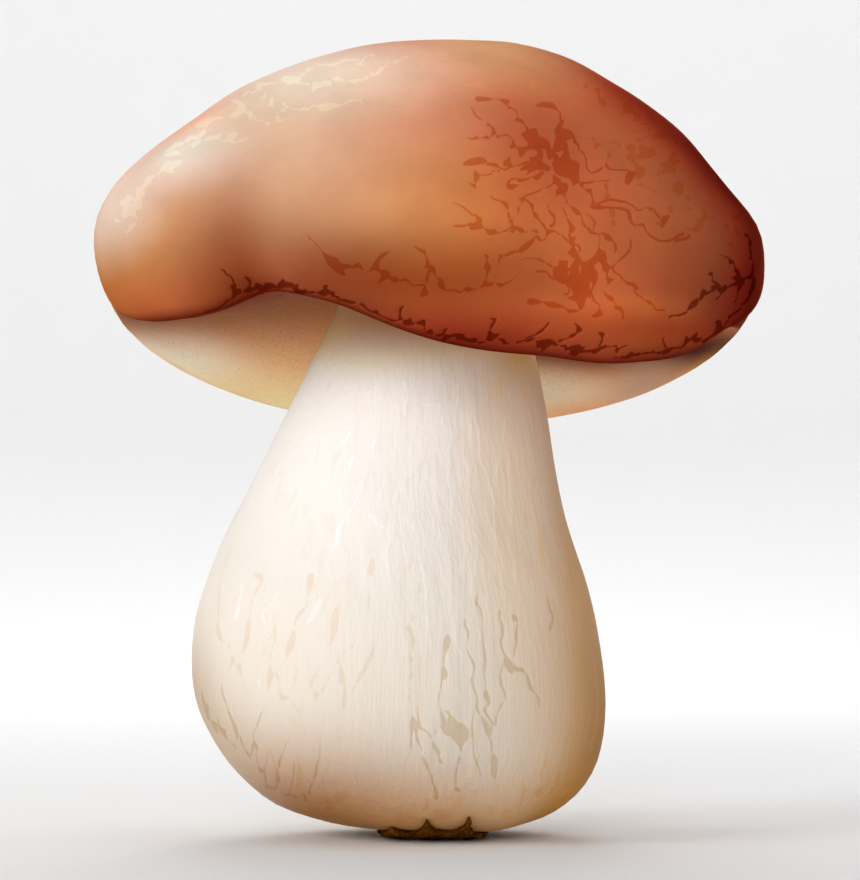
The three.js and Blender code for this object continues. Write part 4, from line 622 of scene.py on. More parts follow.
STEM_CREAM = """
line -9.6,80.5,.09 -9.4,79.1,.14 -9.6,77,.17 -9.6,75.6,.1
line -10.5,77.9,.1 -11,77,.17 -11.7,75.9,.1 -12.9,74.5,.14 -13.3,73,.07
line -4.4,79.3,.24 -4.3,78.2,.21 -4,77,.12 -4.4,74.9,.16 -4.4,72.8,.09
line -9.3,75.6,.09 -7,75.4,.14 -6.5,74.5,.12 -7,73.5,.07
line -1.8,77.9,.1 -1,76.6,.17 -1.2,75.2,.16 -0.3,75.2,.12 1.4,75.2,.16 2.3,74.5,.14 2.4,73.5,.14
    2.1,72.1,.14 2.8,71,.12 3.7,70.3,.19 3.5,68.9,.17 3.3,67.2,.14 3.7,65.6,.09
line 4.7,78.9,.26 4.9,77.9,.17 4.9,76.6,.16 4.5,74.5,.19 4.4,72.4,.17 4.7,70.7,.14 3.8,69.5,.1
line 7.2,77.7,.17 7.7,76.6,.12 7.7,73.5,.16 8.4,71.8,.14 8.6,68.9,.16 8.6,66.5,.21 9.1,64.9,.17
    10.1,63.3,.19 10.5,61.2,.16 10.8,59.8,.21 11.2,58.1,.17 11.2,55.3,.16 11.4,51.8,.17 11.5,49,.12
line 13.5,73.3,.14 12.6,72.1,.16 13.1,71.9,.17 12.8,70,.16 12.4,67.2,.17 11.9,64.8,.26 11.2,61.6,.12
line 13.1,71.9,.12 13.6,68.9,.14 13.8,65.8,.14 13.8,61.6,.17 14.2,58.8,.16 14.3,55.3,.17 14.6,52.5,.17
    15,49.7,.16
line 5.2,74.2,.17 5.8,72.1,.14 5.9,70,.17 5.8,67.2,.17 6.5,64.4,.19 6.6,61.2,.17 6.8,58.6,.1
line 7,72.1,.14 7.2,69.3,.16 6.6,67.4,.09
line 5.4,56.7,.1 5.6,54.2,.14 5.9,51.8,.24 5.9,49,.14 5.8,46.7,.28 6.3,46,.1
line 7.5,53.5,.16 8,51.8,.19 8.3,49.7,.14 8,48.1,.24 7.5,46,.32 7.3,44.6,.1
line 3.7,67.2,.14 3.1,63,.21 3.7,59.5,.19 3.8,57,.17 3.5,54.2,.16 3.4,51.1,.14
line -13.6,71,.14 -14.9,68.9,.21 -16.1,68.2,.12 -17.1,67.7,.16
line -8.9,70,.1 -10,68.2,.19 -10,65.5,.1
line -13.1,66.7,.14 -13.8,65.1,.21 -14,64,.14 -14.9,62.6,.09
line -6.5,65.3,.14 -7,63,.14 -8.8,59.8,.16 -9.1,57.4,.12
line -4.4,63.3,.28 -4.4,61.6,.17 -6.3,58.8,.16 -7.9,56.3,.09
line -11.7,62.3,.1 -12.6,59.5,.19 -14.3,56,.16 -16.1,53.2,.32 -16.4,51.1,.35 -17.5,49.7,.14
line -10.5,56,.32 -9.1,54.2,.21 -7.3,52.8,.14 -7.2,50.8,.21 -7.7,49,.14 -7.3,46.4,.16 -7.7,45.1,.1
line -15.7,61.6,.1 -15.7,58.1,.14 -16.4,56.7,.09
line 8,48.1,.17 7.6,45,.28 7.4,42.9,.35 7.9,39.9,.21 8.4,37.3,.17 8.8,34.5,.12
line 12.1,47.4,.16 12.4,44.6,.12 13,42.5,.14 13.2,39,.12 13.3,36.8,.17 13.8,33.2,.16 14.3,30.6,.09
line 14.9,48.1,.28 14.7,46.4,.24 15,43.8,.07
line -1.6,47.2,.21 -1.2,45.5,.24 -0.7,42,.17 -0.9,39,.19 -0.3,37.3,.26 -0.3,35.2,.16
line 4,40.2,.17 4.2,36.8,.21 4.5,33.8,.19 5.4,31.5,.17 5.4,30.3,.16 4.7,28.7,.1 4.5,27.8,.07
line 0,34.1,.14 0.3,31.5,.1
line 4.5,26.2,.17 4.9,24.7,.32 5.4,23.1,.12
line -4.4,26.4,.17 -4,24.3,.21
line -21.5,34.1,.14 -22.2,32,.1
line -32.7,44.3,.16 -33.2,41.1,.23 -33.9,38.3,.42 -34.5,37.6,.1
line -19.2,41.1,.45 -20.1,39.4,.52 -21.3,37.3,.28 -21.9,36.6,.1
patch -25.7,29.9 -29.4,28 -29.2,25.4 -27.5,23.8 -29.4,25.4 -30.1,27.3
line -29.4,38.5,.24 -29.2,37.3,.28
line -26.6,42.9,.17 -27.6,40.6,.17 -29,39.4,.28 -29.4,38.5,.14
"""
STEM_GOLD = """
patch 10.5,78.6 11,79.4 11.7,79.8 12.8,79.8 12.8,78.2 12.4,76.8 12.8,75.8 11.5,75.9 10,75.6 10.3,76.6
    11,77.7
line 9.3,81.9,.07 9.3,80.1,.21 9.6,78.4,.28 10.1,78.8,.14 10.5,79.8,.1
line 10.1,81.2,.09 10.5,81.5,.14 11.5,81.3,.14 12.1,80.1,.14
line 14.2,81.7,.09 14.3,80.5,.21 13.3,78.4,.17 13.1,76.6,.17 13.8,75.6,.12 13.8,73.1,.1
line 15.2,81.2,.14 15.6,79.4,.16 16.6,77,.28 17,75.6,.16 17.3,74.2,.09
line 17.5,79.4,.16 18,78,.19 18,74.9,.16 18.4,72.4,.23 18.2,68.6,.24 18.4,65.1,.17 18.7,63.3,.21
    18.2,61.6,.26 18,59.1,.21 18.5,57.4,.14 19.1,53.9,.17
patch 19.2,53.5 19.9,53.2 20.1,50.4 19.8,48.1 20.1,46 19.4,47.1 19.1,48.1 18.9,51.1
line 14.7,75.1,.17 15.2,74.2,.28 15,73.1,.21
line 16.3,68.9,.16 16.1,67.5,.19 16,65.8,.16 16.3,63.7,.19 15.9,61.9,.09
"""
FOOT_PATCHES = """
patch 0,8.2 -0.3,6.4 -0.2,4.6 -1.1,4.1 -2.6,2.6 -1.1,5.1 -0.8,7.1
patch 4.9,7.1 6,7.4 6.4,8.9 7.6,10.1 7.9,12.1 8.2,11.6 7.8,9.9 6.6,8.4 5.9,6.1 4.9,5.1 3.8,3.4 2.6,2.7
    1.2,2.7 0.9,4.5 2.4,4.5 3.6,5.1
patch 10.1,5.1 11.1,5.1 10.7,3.5 10.3,4.1
patch 12.6,3.7 12.9,4.4 13.8,4.5 14.3,3.8 14,2.8 12.9,2.8
patch 16.1,9.4 16.7,8.4 16.4,6.1 15.9,4.6 15.2,3.1 15.4,4.6 16,6.4 15.9,8.1
patch 18.1,7.4 19.1,8.2 19.9,8.1 19.9,7.1 19.1,6.6 18.4,6.9
line 22.6,10.8,.26 22.1,8.6,.26 21.1,7.4,.23 19.9,6.6,.17
patch 20.1,13.5 20.5,12.4 19.8,11.4 19.6,9.6 19.1,11.1 19.8,12.1
patch 11.3,9.4 12.2,8.1 11.6,7.1
line 9.4,16.4,.17 8.9,14.6,.17 8.5,13.6,.17 7.9,11.6,.14
line -28.4,16.1,.09 -27.8,14.4,.17 -27.2,12.6,.21 -26.8,10.7,.21 -26,8.6,.17
patch -23,12.9 -22.2,11.1 -22.5,8.9 -23.3,7.4 -23.4,10.4
line -16.7,16.6,.1 -17,14.1,.17 -17.9,11.4,.28 -18.6,10.4,.28 -18.7,8.4,.28 -18.9,6.4,.21
patch -18.1,6.4 -14.5,7.8 -14.4,6.6 -16,5.4 -18,4 -18.3,5.1
patch -6.1,2.6 -5.2,3.7 -2.8,3.7 -3.1,2.6 -4.9,1.9
"""

# ---- Helpers ----
def pick(piece):
    """Makes the piece the only one selected, and the active one."""
    bpy.ops.object.select_all(action="DESELECT")
    piece.select_set(True)
    bpy.context.view_layer.objects.active = piece


def select(piece, kind, chosen):
    """Selects the chosen vertices or faces, and goes into edit mode."""
    pick(piece)
    bpy.ops.object.mode_set(mode="EDIT")
    bpy.ops.mesh.select_mode(type=kind)
    bpy.ops.mesh.select_all(action="DESELECT")
    bpy.ops.object.mode_set(mode="OBJECT")
    elements = piece.data.vertices if kind == "VERT" else piece.data.polygons
    elements.foreach_set("select", chosen)
    bpy.ops.object.mode_set(mode="EDIT")


def copy_of(node, name):
    """A copy of a CAD node with its loose triangles merged, for a piece to be shaped from."""
    piece = frame["nodes"][node].copy()
    piece.data = piece.data.copy()
    piece.name = name
    piece.data.name = name
    piece.parent = None
    for key in list(piece.keys()):
        del piece[key]
    bpy.context.scene.collection.objects.link(piece)
    piece.data.materials.clear()
    pick(piece)
    bpy.ops.object.mode_set(mode="EDIT")
    bpy.ops.mesh.select_all(action="SELECT")
    bpy.ops.mesh.remove_doubles(threshold=0.001 * MM)
    bpy.ops.mesh.customdata_custom_splitnormals_clear()
    bpy.ops.object.mode_set(mode="OBJECT")
    return piece


def places(piece):
    """The vertices' places in millimetres, as an array."""
    data = np.empty(len(piece.data.vertices) * 3)
    piece.data.vertices.foreach_get("co", data)
    return data.reshape(-1, 3) / MM


def move_to(piece, spots):
    """Puts the vertices at these places, in millimetres."""
    piece.data.vertices.foreach_set("co", (spots * MM).ravel())
    piece.data.update()


def normals(piece):
    """The way that the surface faces at each vertex."""
    data = np.empty(len(piece.data.vertices) * 3)
    piece.data.vertex_normals.foreach_get("vector", data)
    return data.reshape(-1, 3)


def put(piece, name, values):
    """Keeps one number for each vertex as an attribute."""
    attribute = piece.data.attributes.get(name)
    if attribute is None:
        attribute = piece.data.attributes.new(name, "FLOAT", "POINT")
    attribute.data.foreach_set("value", np.asarray(values, dtype=np.float32))


def take(piece, name):
    """Reads an attribute that put kept."""
    data = np.empty(len(piece.data.vertices), dtype=np.float32)
    piece.data.attributes[name].data.foreach_get("value", data)
    return data


def ease(value, low, high):
    """0 below low, 1 above high and smooth between them."""
    share = np.clip((value - low) / (high - low), 0, 1)
    return share * share * (3 - 2 * share)


def lumps(spots, size, seed=0.0, octaves=1):
    """Smooth noise from about -1 to 1 at each place, with lumps of that size."""
    shift = Vector((seed, seed * 1.7, seed * 0.3))
    values = []
    for x, y, z in spots / size:
        at = Vector((x, y, z)) + shift
        values.append(sum(noise.noise(at * 2**i) / 2**i for i in range(octaves)))
    return np.array(values)


# ---- The mushroom ----
def count_rings(piece):
    """Each vertex's ring, walked up the surface edge by edge from the middle of the sole."""
    spots = places(piece)
    edges = np.empty(len(piece.data.edges) * 2, dtype=int)
    piece.data.edges.foreach_get("vertices", edges)
    edges = edges.reshape(-1, 2)
    busiest = np.bincount(edges.ravel())
    low = np.where(spots[:, 2] < 5)[0]
    ring = np.full(len(spots), -1)
    ring[low[np.argmax(busiest[low])]] = 0
    for step in range(CROWN_RING):
        for a, b in ((0, 1), (1, 0)):
            next_up = (ring[edges[:, a]] == step) & (ring[edges[:, b]] < 0)
            ring[edges[next_up, b]] = step + 1
    return ring


def laid_on(spots):
    """Where each place falls on the plane through AIM, seen from LAYING_POINT: (right, up) in millimetres."""
    eye, aim = np.array(LAYING_POINT) / MM, np.array(AIM) / MM
    reach = np.linalg.norm(aim - eye)
    ahead = (aim - eye) / reach
    up = np.array([0, -ahead[2], ahead[1]])
    off = spots - eye
    share = reach / (off @ ahead)
    return np.stack([off[:, 0] * share, aim[2] + off @ up * share], axis=1)


def rounded(points, closed):
    """A smooth run through the points, with three more between each two."""
    points = np.array(points)
    if closed:
        points = np.concatenate([points[-1:], points, points[:2]])
    else:
        points = np.concatenate([points[:1], points, points[-1:]])
    before, here, there, after = points[:-3], points[1:-2], points[2:-1], points[3:]
    run = []
    for t in (0, 0.25, 0.5, 0.75):
        run.append(0.5 * (
            2 * here + (there - before) * t + (2 * before - 5 * here + 4 * there - after) * t**2
            + (after - before + 3 * (here - there)) * t**3
        ))
    run = np.stack(run, axis=1).reshape(-1, points.shape[1])
    return np.concatenate([run, run[:1] if closed else points[-2:-1]])


def shapes_in(text):
    """Each patch, hole and line of a kind of mark, as (word, smooth run of points)."""
    for row in text.replace("\n    ", " ").strip().splitlines():
        word, *points = row.split()
        points = [[float(number) for number in point.split(",")] for point in points]
        yield word, rounded(points, word != "line")


def away_from(run, flat, closed):
    """The distance from a run of points, negative inside its outline or within a line's width."""
    nearest = np.full(len(flat), 1e9)
    inside = np.zeros(len(flat), dtype=bool)
    for a, b in zip(run, run[1:]):
        along = b[:2] - a[:2]
        off = flat - a[:2]
        share = np.clip(off @ along / max(along @ along, 1e-9), 0, 1)
        away = np.hypot(*(off - share[:, None] * along).T)
        if closed:
            crossed = (a[1] > flat[:, 1]) != (b[1] > flat[:, 1])
            rise = along[1] if abs(along[1]) > 1e-9 else 1e-9
            inside ^= crossed & (off[:, 0] < off[:, 1] * along[0] / rise)
        else:
            away = away - (a[2] + (b[2] - a[2]) * share)
        nearest = np.minimum(nearest, away)
    return np.where(inside, -nearest, nearest)


def distance_to(text, flat, reach=MARK_REACH):
    """How far each laid-on place is from the nearest mark's edge: negative inside, reach at most."""
    nearest = np.full(len(flat), reach)
    for word, run in shapes_in(text):
        low, high = run[:, :2].min(0) - reach, run[:, :2].max(0) + reach
        near = np.where(((flat > low) & (flat < high)).all(axis=1))[0]
        if not len(near):
            continue
        away = away_from(run, flat[near], word != "line")
        if word == "hole":
            nearest[near] = np.maximum(nearest[near], -away)
        else:
            nearest[near] = np.minimum(nearest[near], away)
    return nearest


MARKS = {
    "net": (CAP_NET, "cap"),
    "faint net": (CAP_FAINT_NET, "cap"),
    "glow": (CAP_GLOW, "cap"),
    "cracks": (RIM_CRACKS, "cap"),
    "scuffs": (CAP_SCUFFS, "cap"),
    "strands": (STEM_STRANDS, "stem"),
    "shades": (STEM_SHADES, "stem"),
    "cream": (STEM_CREAM, "stem"),
    "gold": (STEM_GOLD, "stem"),
    "foot patches": (FOOT_PATCHES, "stem"),
}


def mark_distances(piece):
    """Each kind of mark's distance at every vertex, in millimetres, on the side it was laid on from."""
    spots = places(piece)
    ring = take(piece, "ring")
    flat = laid_on(spots)
    flat = flat + 0.1 * np.stack([lumps(spots, 1.3, 4.0), lumps(spots, 1.3, 9.0)], axis=1)
    towards = np.array(LAYING_POINT) / MM - spots
    facing = np.einsum("ij,ij->i", normals(piece), towards) > 0
    found = {}
    for name, (text, where) in MARKS.items():
        here = facing & ((ring > RIM_RING - 1.5) if where == "cap" else (ring < NECK_RING + 0.5))
        values = np.full(len(spots), MARK_REACH)
        values[here] = distance_to(text, flat[here])
        found[name] = values
    return found


def refine_near_marks(piece, band, kinds):
    """Cuts the faces that lie within the band of a mark's edge into four."""
    found = mark_distances(piece)
    near = np.zeros(len(piece.data.vertices), dtype=bool)
    for name in kinds:
        near |= np.abs(found[name]) < band
    corners = np.empty(len(piece.data.loops), dtype=int)
    piece.data.loops.foreach_get("vertex_index", corners)
    starts = np.empty(len(piece.data.polygons), dtype=int)
    piece.data.polygons.foreach_get("loop_start", starts)
    chosen = np.logical_or.reduceat(near[corners], starts)
    select(piece, "FACE", chosen)
    bpy.ops.mesh.subdivide(number_cuts=1, ngon=False)
    bpy.ops.object.mode_set(mode="OBJECT")


def smooth(piece, levels):
    """Smooths a piece into a finer skin."""
    pick(piece)
    skin = piece.modifiers.new("Skin", "SUBSURF")
    skin.levels = levels
    skin.render_levels = levels
    bpy.ops.object.modifier_apply(modifier=skin.name)


def nudged(spots, nudges):
    """Eases parts of a surface to where they should lie."""
    moved = spots.copy()
    for middle, move, reach in nudges:
        away = np.linalg.norm(spots - middle, axis=1)
        moved += np.outer(1 - ease(away, 0, reach), move)
    return moved


def make_mushroom():
    """The smoothed mushroom, with faces fine enough for its marks and the marks' distances."""
    piece = copy_of("mushroom", "bolete")
    put(piece, "ring", count_rings(piece))
    ring = take(piece, "ring")
    move_to(piece, nudged(places(piece), BOLETE_NUDGES))

    # All but the two poles go from triangles to quads, and are smoothed into a fine skin.
    select(piece, "VERT", (ring > 0) & (ring < CROWN_RING))
    bpy.ops.mesh.select_mode(type="FACE")
    bpy.ops.mesh.tris_convert_to_quads(face_threshold=math.pi, shape_threshold=math.pi)
    bpy.ops.object.mode_set(mode="OBJECT")
    guide = piece.copy()
    guide.data = piece.data.copy()
    guide.name = "smooth guide"
    bpy.context.scene.collection.objects.link(guide)
    smooth(guide, 3)
    smooth(piece, 1)

    refine_near_marks(piece, 1.2, MARKS)
    refine_near_marks(piece, 0.6, MARKS)
    refine_near_marks(piece, 0.2, ("net", "faint net", "glow", "cracks", "scuffs", "strands"))
    refine_near_marks(piece, 0.06, ("net", "cracks"))
    pick(piece)
    wrap = piece.modifiers.new("Onto the smooth guide", "SHRINKWRAP")
    wrap.target = guide
    wrap.wrap_method = "NEAREST_SURFACEPOINT"
    bpy.ops.object.modifier_apply(modifier=wrap.name)
    pick(guide)
    bpy.ops.object.delete()
    pick(piece)
    for name, values in mark_distances(piece).items():
        put(piece, name, values)
    return piece


# ---- The mushroom's surface ----
# Each mark's height, and how far inside and outside its edge the relief begins and ends.
MARK_RELIEF = [
    ("cracks", -0.24, -0.3, 0.35),
    ("net", -0.03, -0.2, 0.2),
    ("strands", -0.05, -0.2, 0.25),
    ("cream", 0.03, -0.25, 0.25),
    ("scuffs", 0.02, -0.2, 0.2),
]


def give_relief(piece):
    """Fibres and lumps on the stem, a slightly uneven cap, and the marks' own relief."""
    spots = places(piece)
    ways = normals(piece)
    ring = take(piece, "ring")
    stem = 1 - ease(ring, NECK_RING - 2, NECK_RING + 1)
    cap = ease(ring, PORE_EDGE_RING, RIM_RING + 2)

    stretched = spots * (1, 1, 0.12)
    fibres = 0.10 * lumps(stretched, 2.6, 3.0, 2) * stem * ease(spots[:, 2], 1, 8)
    knobs = 0.35 * lumps(spots, 15.0, 8.0) * stem * ease(spots[:, 2], 2, 14)
    uneven = 0.30 * lumps(spots, 17.0, 21.0, 2) * cap
    marks = sum(
        height * (1 - ease(take(piece, name), inside, outside))
        for name, height, inside, outside in MARK_RELIEF
    )
    spots = spots + ways * (fibres + knobs + uneven + marks)[:, None]
    move_to(piece, np.clip(spots, *(np.array(cad_box) / MM + [[0.02], [-0.02]])))


def give_finishes(piece):
    """Skin above the margin, pores under it and out to the very edge behind, and the stem's own skin."""
    for make in (make_stem, make_pores, make_skin):
        piece.data.materials.append(make())
    ring = take(piece, "ring")
    spots = places(piece)
    behind = ease(spots[:, 1] - 0.1 * spots[:, 0], -12, 8)
    margin = ring - (RIM_RING - 1 + 2 * behind)
    put(piece, "margin", margin)
    put(piece, "rim line", (1 - ease(margin, 0.2, 1.6)) * (1 - behind))
    for face in piece.data.polygons:
        corners = list(face.vertices)
        if ring[corners].mean() < NECK_RING:
            face.material_index = 0
        else:
            face.material_index = 1 if margin[corners].mean() < -0.8 else 2


def make_bolete():
    """Cap, pores and stem in one piece, with relief and finishes."""
    piece = make_mushroom()
    give_relief(piece)
    give_finishes(piece)
    bpy.ops.object.shade_smooth()
    return piece


# ---- The crust of soil ----
def in_crumbs(piece):
    """Remakes a closed piece from even small faces."""
    crumb = piece.modifiers.new("Crumb size", "REMESH")
    crumb.mode = "VOXEL"
    crumb.voxel_size = CRUMB_SIZE * MM
    bpy.ops.object.modifier_apply(modifier=crumb.name)


def make_crust(bolete):
    """The crumbly soil, laid on the foot of the finished mushroom."""
    piece = copy_of("soil_crust", "soil")
    bpy.ops.object.mode_set(mode="EDIT")
    bpy.ops.mesh.select_all(action="SELECT")
    bpy.ops.mesh.tris_convert_to_quads(face_threshold=0.7, shape_threshold=0.7)
    bpy.ops.object.mode_set(mode="OBJECT")
    in_crumbs(piece)

    # Its tongues are drawn thin and its front is brought forwards, then it is laid on the foot.
    spots = places(piece)
    spots[:, 0] = np.interp(spots[:, 0], *CRUST_ACROSS)
    spots[:, 1] = np.interp(spots[:, 1], *CRUST_BACK)
    move_to(piece, nudged(spots, CRUST_NUDGES))
    in_crumbs(piece)
    bulb_middle = (0, 0, 25)
    outside = np.einsum("ij,ij->i", normals(piece), places(piece) - bulb_middle) > 0
    sides = (("inside", ~outside, CRUST_GAP), ("outside", outside, CRUST_GAP + CRUST_THICKNESS))
    for name, kept, off in sides:
        side = piece.vertex_groups.new(name=name)
        side.add([int(index) for index in np.flatnonzero(kept)], 1.0, "REPLACE")
        laid = piece.modifiers.new("Laid on the foot", "SHRINKWRAP")
        laid.target = bolete
        laid.wrap_method = "NEAREST_SURFACEPOINT"
        laid.wrap_mode = "OUTSIDE_SURFACE"
        laid.offset = off * MM
        laid.vertex_group = name
        bpy.ops.object.modifier_apply(modifier=laid.name)

    spots = places(piece)
    low, high = [np.array(corner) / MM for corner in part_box("soil_crust")]
    rough = 0.3 * lumps(spots, 2.0, 5.0, 3) * outside * ease(spots[:, 2], low[2], low[2] + 0.4)
    move_to(piece, np.clip(spots + normals(piece) * rough[:, None], low, high))
    piece.data.materials.append(make_earth())
    bpy.ops.object.shade_smooth()
    return piece


# ---- Building materials ----
def node(tree, kind, inputs=None, **settings):
    """Adds a shader node, with each input joined to a socket or set to a value."""
    made = tree.nodes.new("ShaderNode" + kind)
    for name, value in settings.items():
        setattr(made, name, value)
    for name, value in (inputs or {}).items():
        if isinstance(value, bpy.types.NodeSocket):
            tree.links.new(value, made.inputs[name])
        else:
            made.inputs[name].default_value = value
    return made


def mix(tree, share, under, over, blend="MIX"):
    """Lays a colour over another by a share."""
    under, over = [
        (*shade, 1) if isinstance(shade, tuple) and len(shade) == 3 else shade
        for shade in (under, over)
    ]
    made = node(tree, "Mix", {0: share, 6: under, 7: over}, data_type="RGBA", blend_type=blend)
    return made.outputs[2]


def math_of(tree, operation, a, b):
    """One sum with two values or sockets."""
    return node(tree, "Math", {0: a, 1: b}, operation=operation).outputs[0]


def ramp(tree, value, low, high, start=0.0, end=1.0):
    """Smoothly from start, where the value is low, to end, where it is high."""
    inputs = {"Value": value, "From Min": low, "From Max": high, "To Min": start, "To Max": end}
    return node(tree, "MapRange", inputs, interpolation_type="SMOOTHSTEP").outputs[0]


def attribute(tree, name):
    """Reads one of the numbers that put kept on the piece."""
    return node(tree, "Attribute", attribute_name=name).outputs["Fac"]


def in_millimetres(tree):
    """The place on the piece, in millimetres."""
    spot = node(tree, "TexCoord").outputs["Object"]
    return node(tree, "VectorMath", {0: spot, "Scale": 1000.0}, operation="SCALE").outputs[0]


def new_group(name, inputs, outputs):
    """A new node group: its tree, what it is given and what it puts out."""
    tree = bpy.data.node_groups.new(name, "ShaderNodeTree")
    for label, kind, value in inputs:
        socket = tree.interface.new_socket(label, in_out="INPUT", socket_type="NodeSocket" + kind)
        socket.default_value = value
    for label, kind in outputs:
        tree.interface.new_socket(label, in_out="OUTPUT", socket_type="NodeSocket" + kind)
    return tree, tree.nodes.new("NodeGroupInput").outputs, tree.nodes.new("NodeGroupOutput").inputs


def make_blush_group():
    """A soft patch of colour round a centre: 1 in the middle, 0 from its reach outwards."""
    tree, given, out = new_group(
        "blush",
        [("Spot", "Vector", (0, 0, 0)), ("Centre", "Vector", (0, 0, 0)), ("Reach", "Vector", (1, 1, 1)),
         ("Strength", "Float", 1.0)],
        [("Mask", "Float")],
    )
    off = node(tree, "VectorMath", {0: given["Spot"], 1: given["Centre"]}, operation="SUBTRACT")
    share = node(tree, "VectorMath", {0: off.outputs[0], 1: given["Reach"]}, operation="DIVIDE")
    away = node(tree, "VectorMath", {0: share.outputs[0]}, operation="LENGTH").outputs["Value"]
    fade = ramp(tree, away, 0.0, 1.0, 1.0, 0.0)
    tree.links.new(math_of(tree, "MULTIPLY", fade, given["Strength"]), out["Mask"])
    return tree


def make_mark_group():
    """A mark with a slightly ragged edge, from the distance to its edge: 1 inside, 0 outside."""
    tree, given, out = new_group(
        "ragged mark",
        [("Spot", "Vector", (0, 0, 0)), ("Distance", "Float", 3.0), ("Ragged", "Float", 0.1),
         ("Soft", "Float", 0.08)],
        [("Mask", "Float")],
    )
    rough = node(tree, "TexNoise", {"Vector": given["Spot"], "Scale": 1.1, "Detail": 2.0})
    centred = math_of(tree, "SUBTRACT", rough.outputs[0], 0.5)
    shift = math_of(tree, "MULTIPLY", centred, given["Ragged"])
    away = math_of(tree, "ADD", given["Distance"], shift)
    share = math_of(tree, "DIVIDE", away, given["Soft"])
    tree.links.new(ramp(tree, share, -1.0, 1.0, 1.0, 0.0), out["Mask"])
    return tree


def make_vein_group():
    """Thin wandering lines between soft cells: 1 along a line, fading in and out along it."""
    tree, given, out = new_group(
        "veins",
        [("Spot", "Vector", (0, 0, 0)), ("Scale", "Float", 0.2), ("Width", "Float", 0.05),
         ("Broken", "Float", 0.5)],
        [("Mask", "Float")],
    )
    bent = node(tree, "TexNoise", {"Vector": given["Spot"], "Scale": 0.16, "Detail": 2.0})
    centred = node(tree, "VectorMath", {0: bent.outputs["Color"], 1: (0.5, 0.5, 0.5)}, operation="SUBTRACT")
    bend = node(tree, "VectorMath", {0: centred.outputs[0], "Scale": 7.0}, operation="SCALE")
    spot = node(tree, "VectorMath", {0: given["Spot"], 1: bend.outputs[0]}, operation="ADD").outputs[0]
    cells = node(tree, "TexVoronoi", {"Vector": spot, "Scale": given["Scale"]}, feature="DISTANCE_TO_EDGE")
    half = math_of(tree, "MULTIPLY", given["Width"], 0.5)
    share = math_of(tree, "DIVIDE", cells.outputs["Distance"], half)
    line = ramp(tree, share, 0.4, 1.6, 1.0, 0.0)
    patchy = node(tree, "TexNoise", {"Vector": given["Spot"], "Scale": 0.11, "Detail": 1.0}).outputs[0]
    low = math_of(tree, "ADD", math_of(tree, "MULTIPLY", given["Broken"], 0.3), 0.35)
    high = math_of(tree, "ADD", low, 0.1)
    above, span = math_of(tree, "SUBTRACT", patchy, low), math_of(tree, "SUBTRACT", high, low)
    kept = ramp(tree, math_of(tree, "DIVIDE", above, span), 0.0, 1.0)
    tree.links.new(math_of(tree, "MULTIPLY", line, kept), out["Mask"])
    return tree


def make_fibre_group():
    """Long upright fibres: their height, and where a darker one runs."""
    tree, given, out = new_group(
        "upright fibres",
        [("Spot", "Vector", (0, 0, 0)), ("Width", "Float", 1.0), ("Length", "Float", 12.0)],
        [("Height", "Float"), ("Streak", "Float")],
    )
    across = math_of(tree, "DIVIDE", 1.0, given["Width"])
    along = math_of(tree, "DIVIDE", 1.0, given["Length"])
    size = node(tree, "CombineXYZ", {"X": across, "Y": across, "Z": along}).outputs[0]
    spot = node(tree, "VectorMath", {0: given["Spot"], 1: size}, operation="MULTIPLY").outputs[0]
    height = node(tree, "TexNoise", {"Vector": spot, "Scale": 1.0, "Detail": 3.0, "Roughness": 0.55})
    streak = node(tree, "TexNoise", {"Vector": spot, "Scale": 0.45, "Detail": 2.0, "Distortion": 0.6})
    tree.links.new(height.outputs[0], out["Height"])
    tree.links.new(ramp(tree, streak.outputs[0], 0.56, 0.7), out["Streak"])
    return tree


BLUSH = make_blush_group()
MARK = make_mark_group()
VEINS = make_vein_group()
FIBRES = make_fibre_group()


def group(tree, kind, inputs):
    """Places a node group. Its tree is set first, so that its inputs are there to be joined."""
    return node(tree, "Group", inputs, node_tree=kind)


def blushed(tree, spot, under, tints):
    """Lays soft patches over a colour, one after another."""
    for name, centre, reach, strength, shade in tints:
        patch = group(tree, BLUSH, {"Spot": spot, "Centre": centre, "Reach": reach, "Strength": strength})
        patch.label = name
        under = mix(tree, patch.outputs["Mask"], under, shade)
    return under


def marked(tree, spot, name, ragged=0.1, soft=0.08):
    """Where a kind of mark lies: 1 inside it, 0 outside."""
    inputs = {"Spot": spot, "Distance": attribute(tree, name), "Ragged": ragged, "Soft": soft}
    return group(tree, MARK, inputs).outputs["Mask"]


def tinted(tree, spot, under, name, tint, ragged=0.1, soft=0.08):
    """The colour multiplied by the tint within a kind of mark."""
    return mix(tree, marked(tree, spot, name, ragged, soft), under, tint, "MULTIPLY")


def noise_of(tree, spot, scale, detail=2.0, roughness=0.5):
    """Soft noise from 0 to 1."""
    inputs = {"Vector": spot, "Scale": scale, "Detail": detail, "Roughness": roughness}
    return node(tree, "TexNoise", inputs).outputs[0]


def new_material(name):
    """A new material, with its node tree and its main shader."""
    material = bpy.data.materials.new(name)
    material.use_nodes = True
    return material, material.node_tree, material.node_tree.nodes["Principled BSDF"]


def bumped(tree, shader, height, distance, strength=1.0):
    """The height is in millimetres times distance, laid on as a bump."""
    bump = node(tree, "Bump", {"Height": height, "Distance": distance * MM, "Strength": strength})
    tree.links.new(bump.outputs[0], shader.inputs["Normal"])
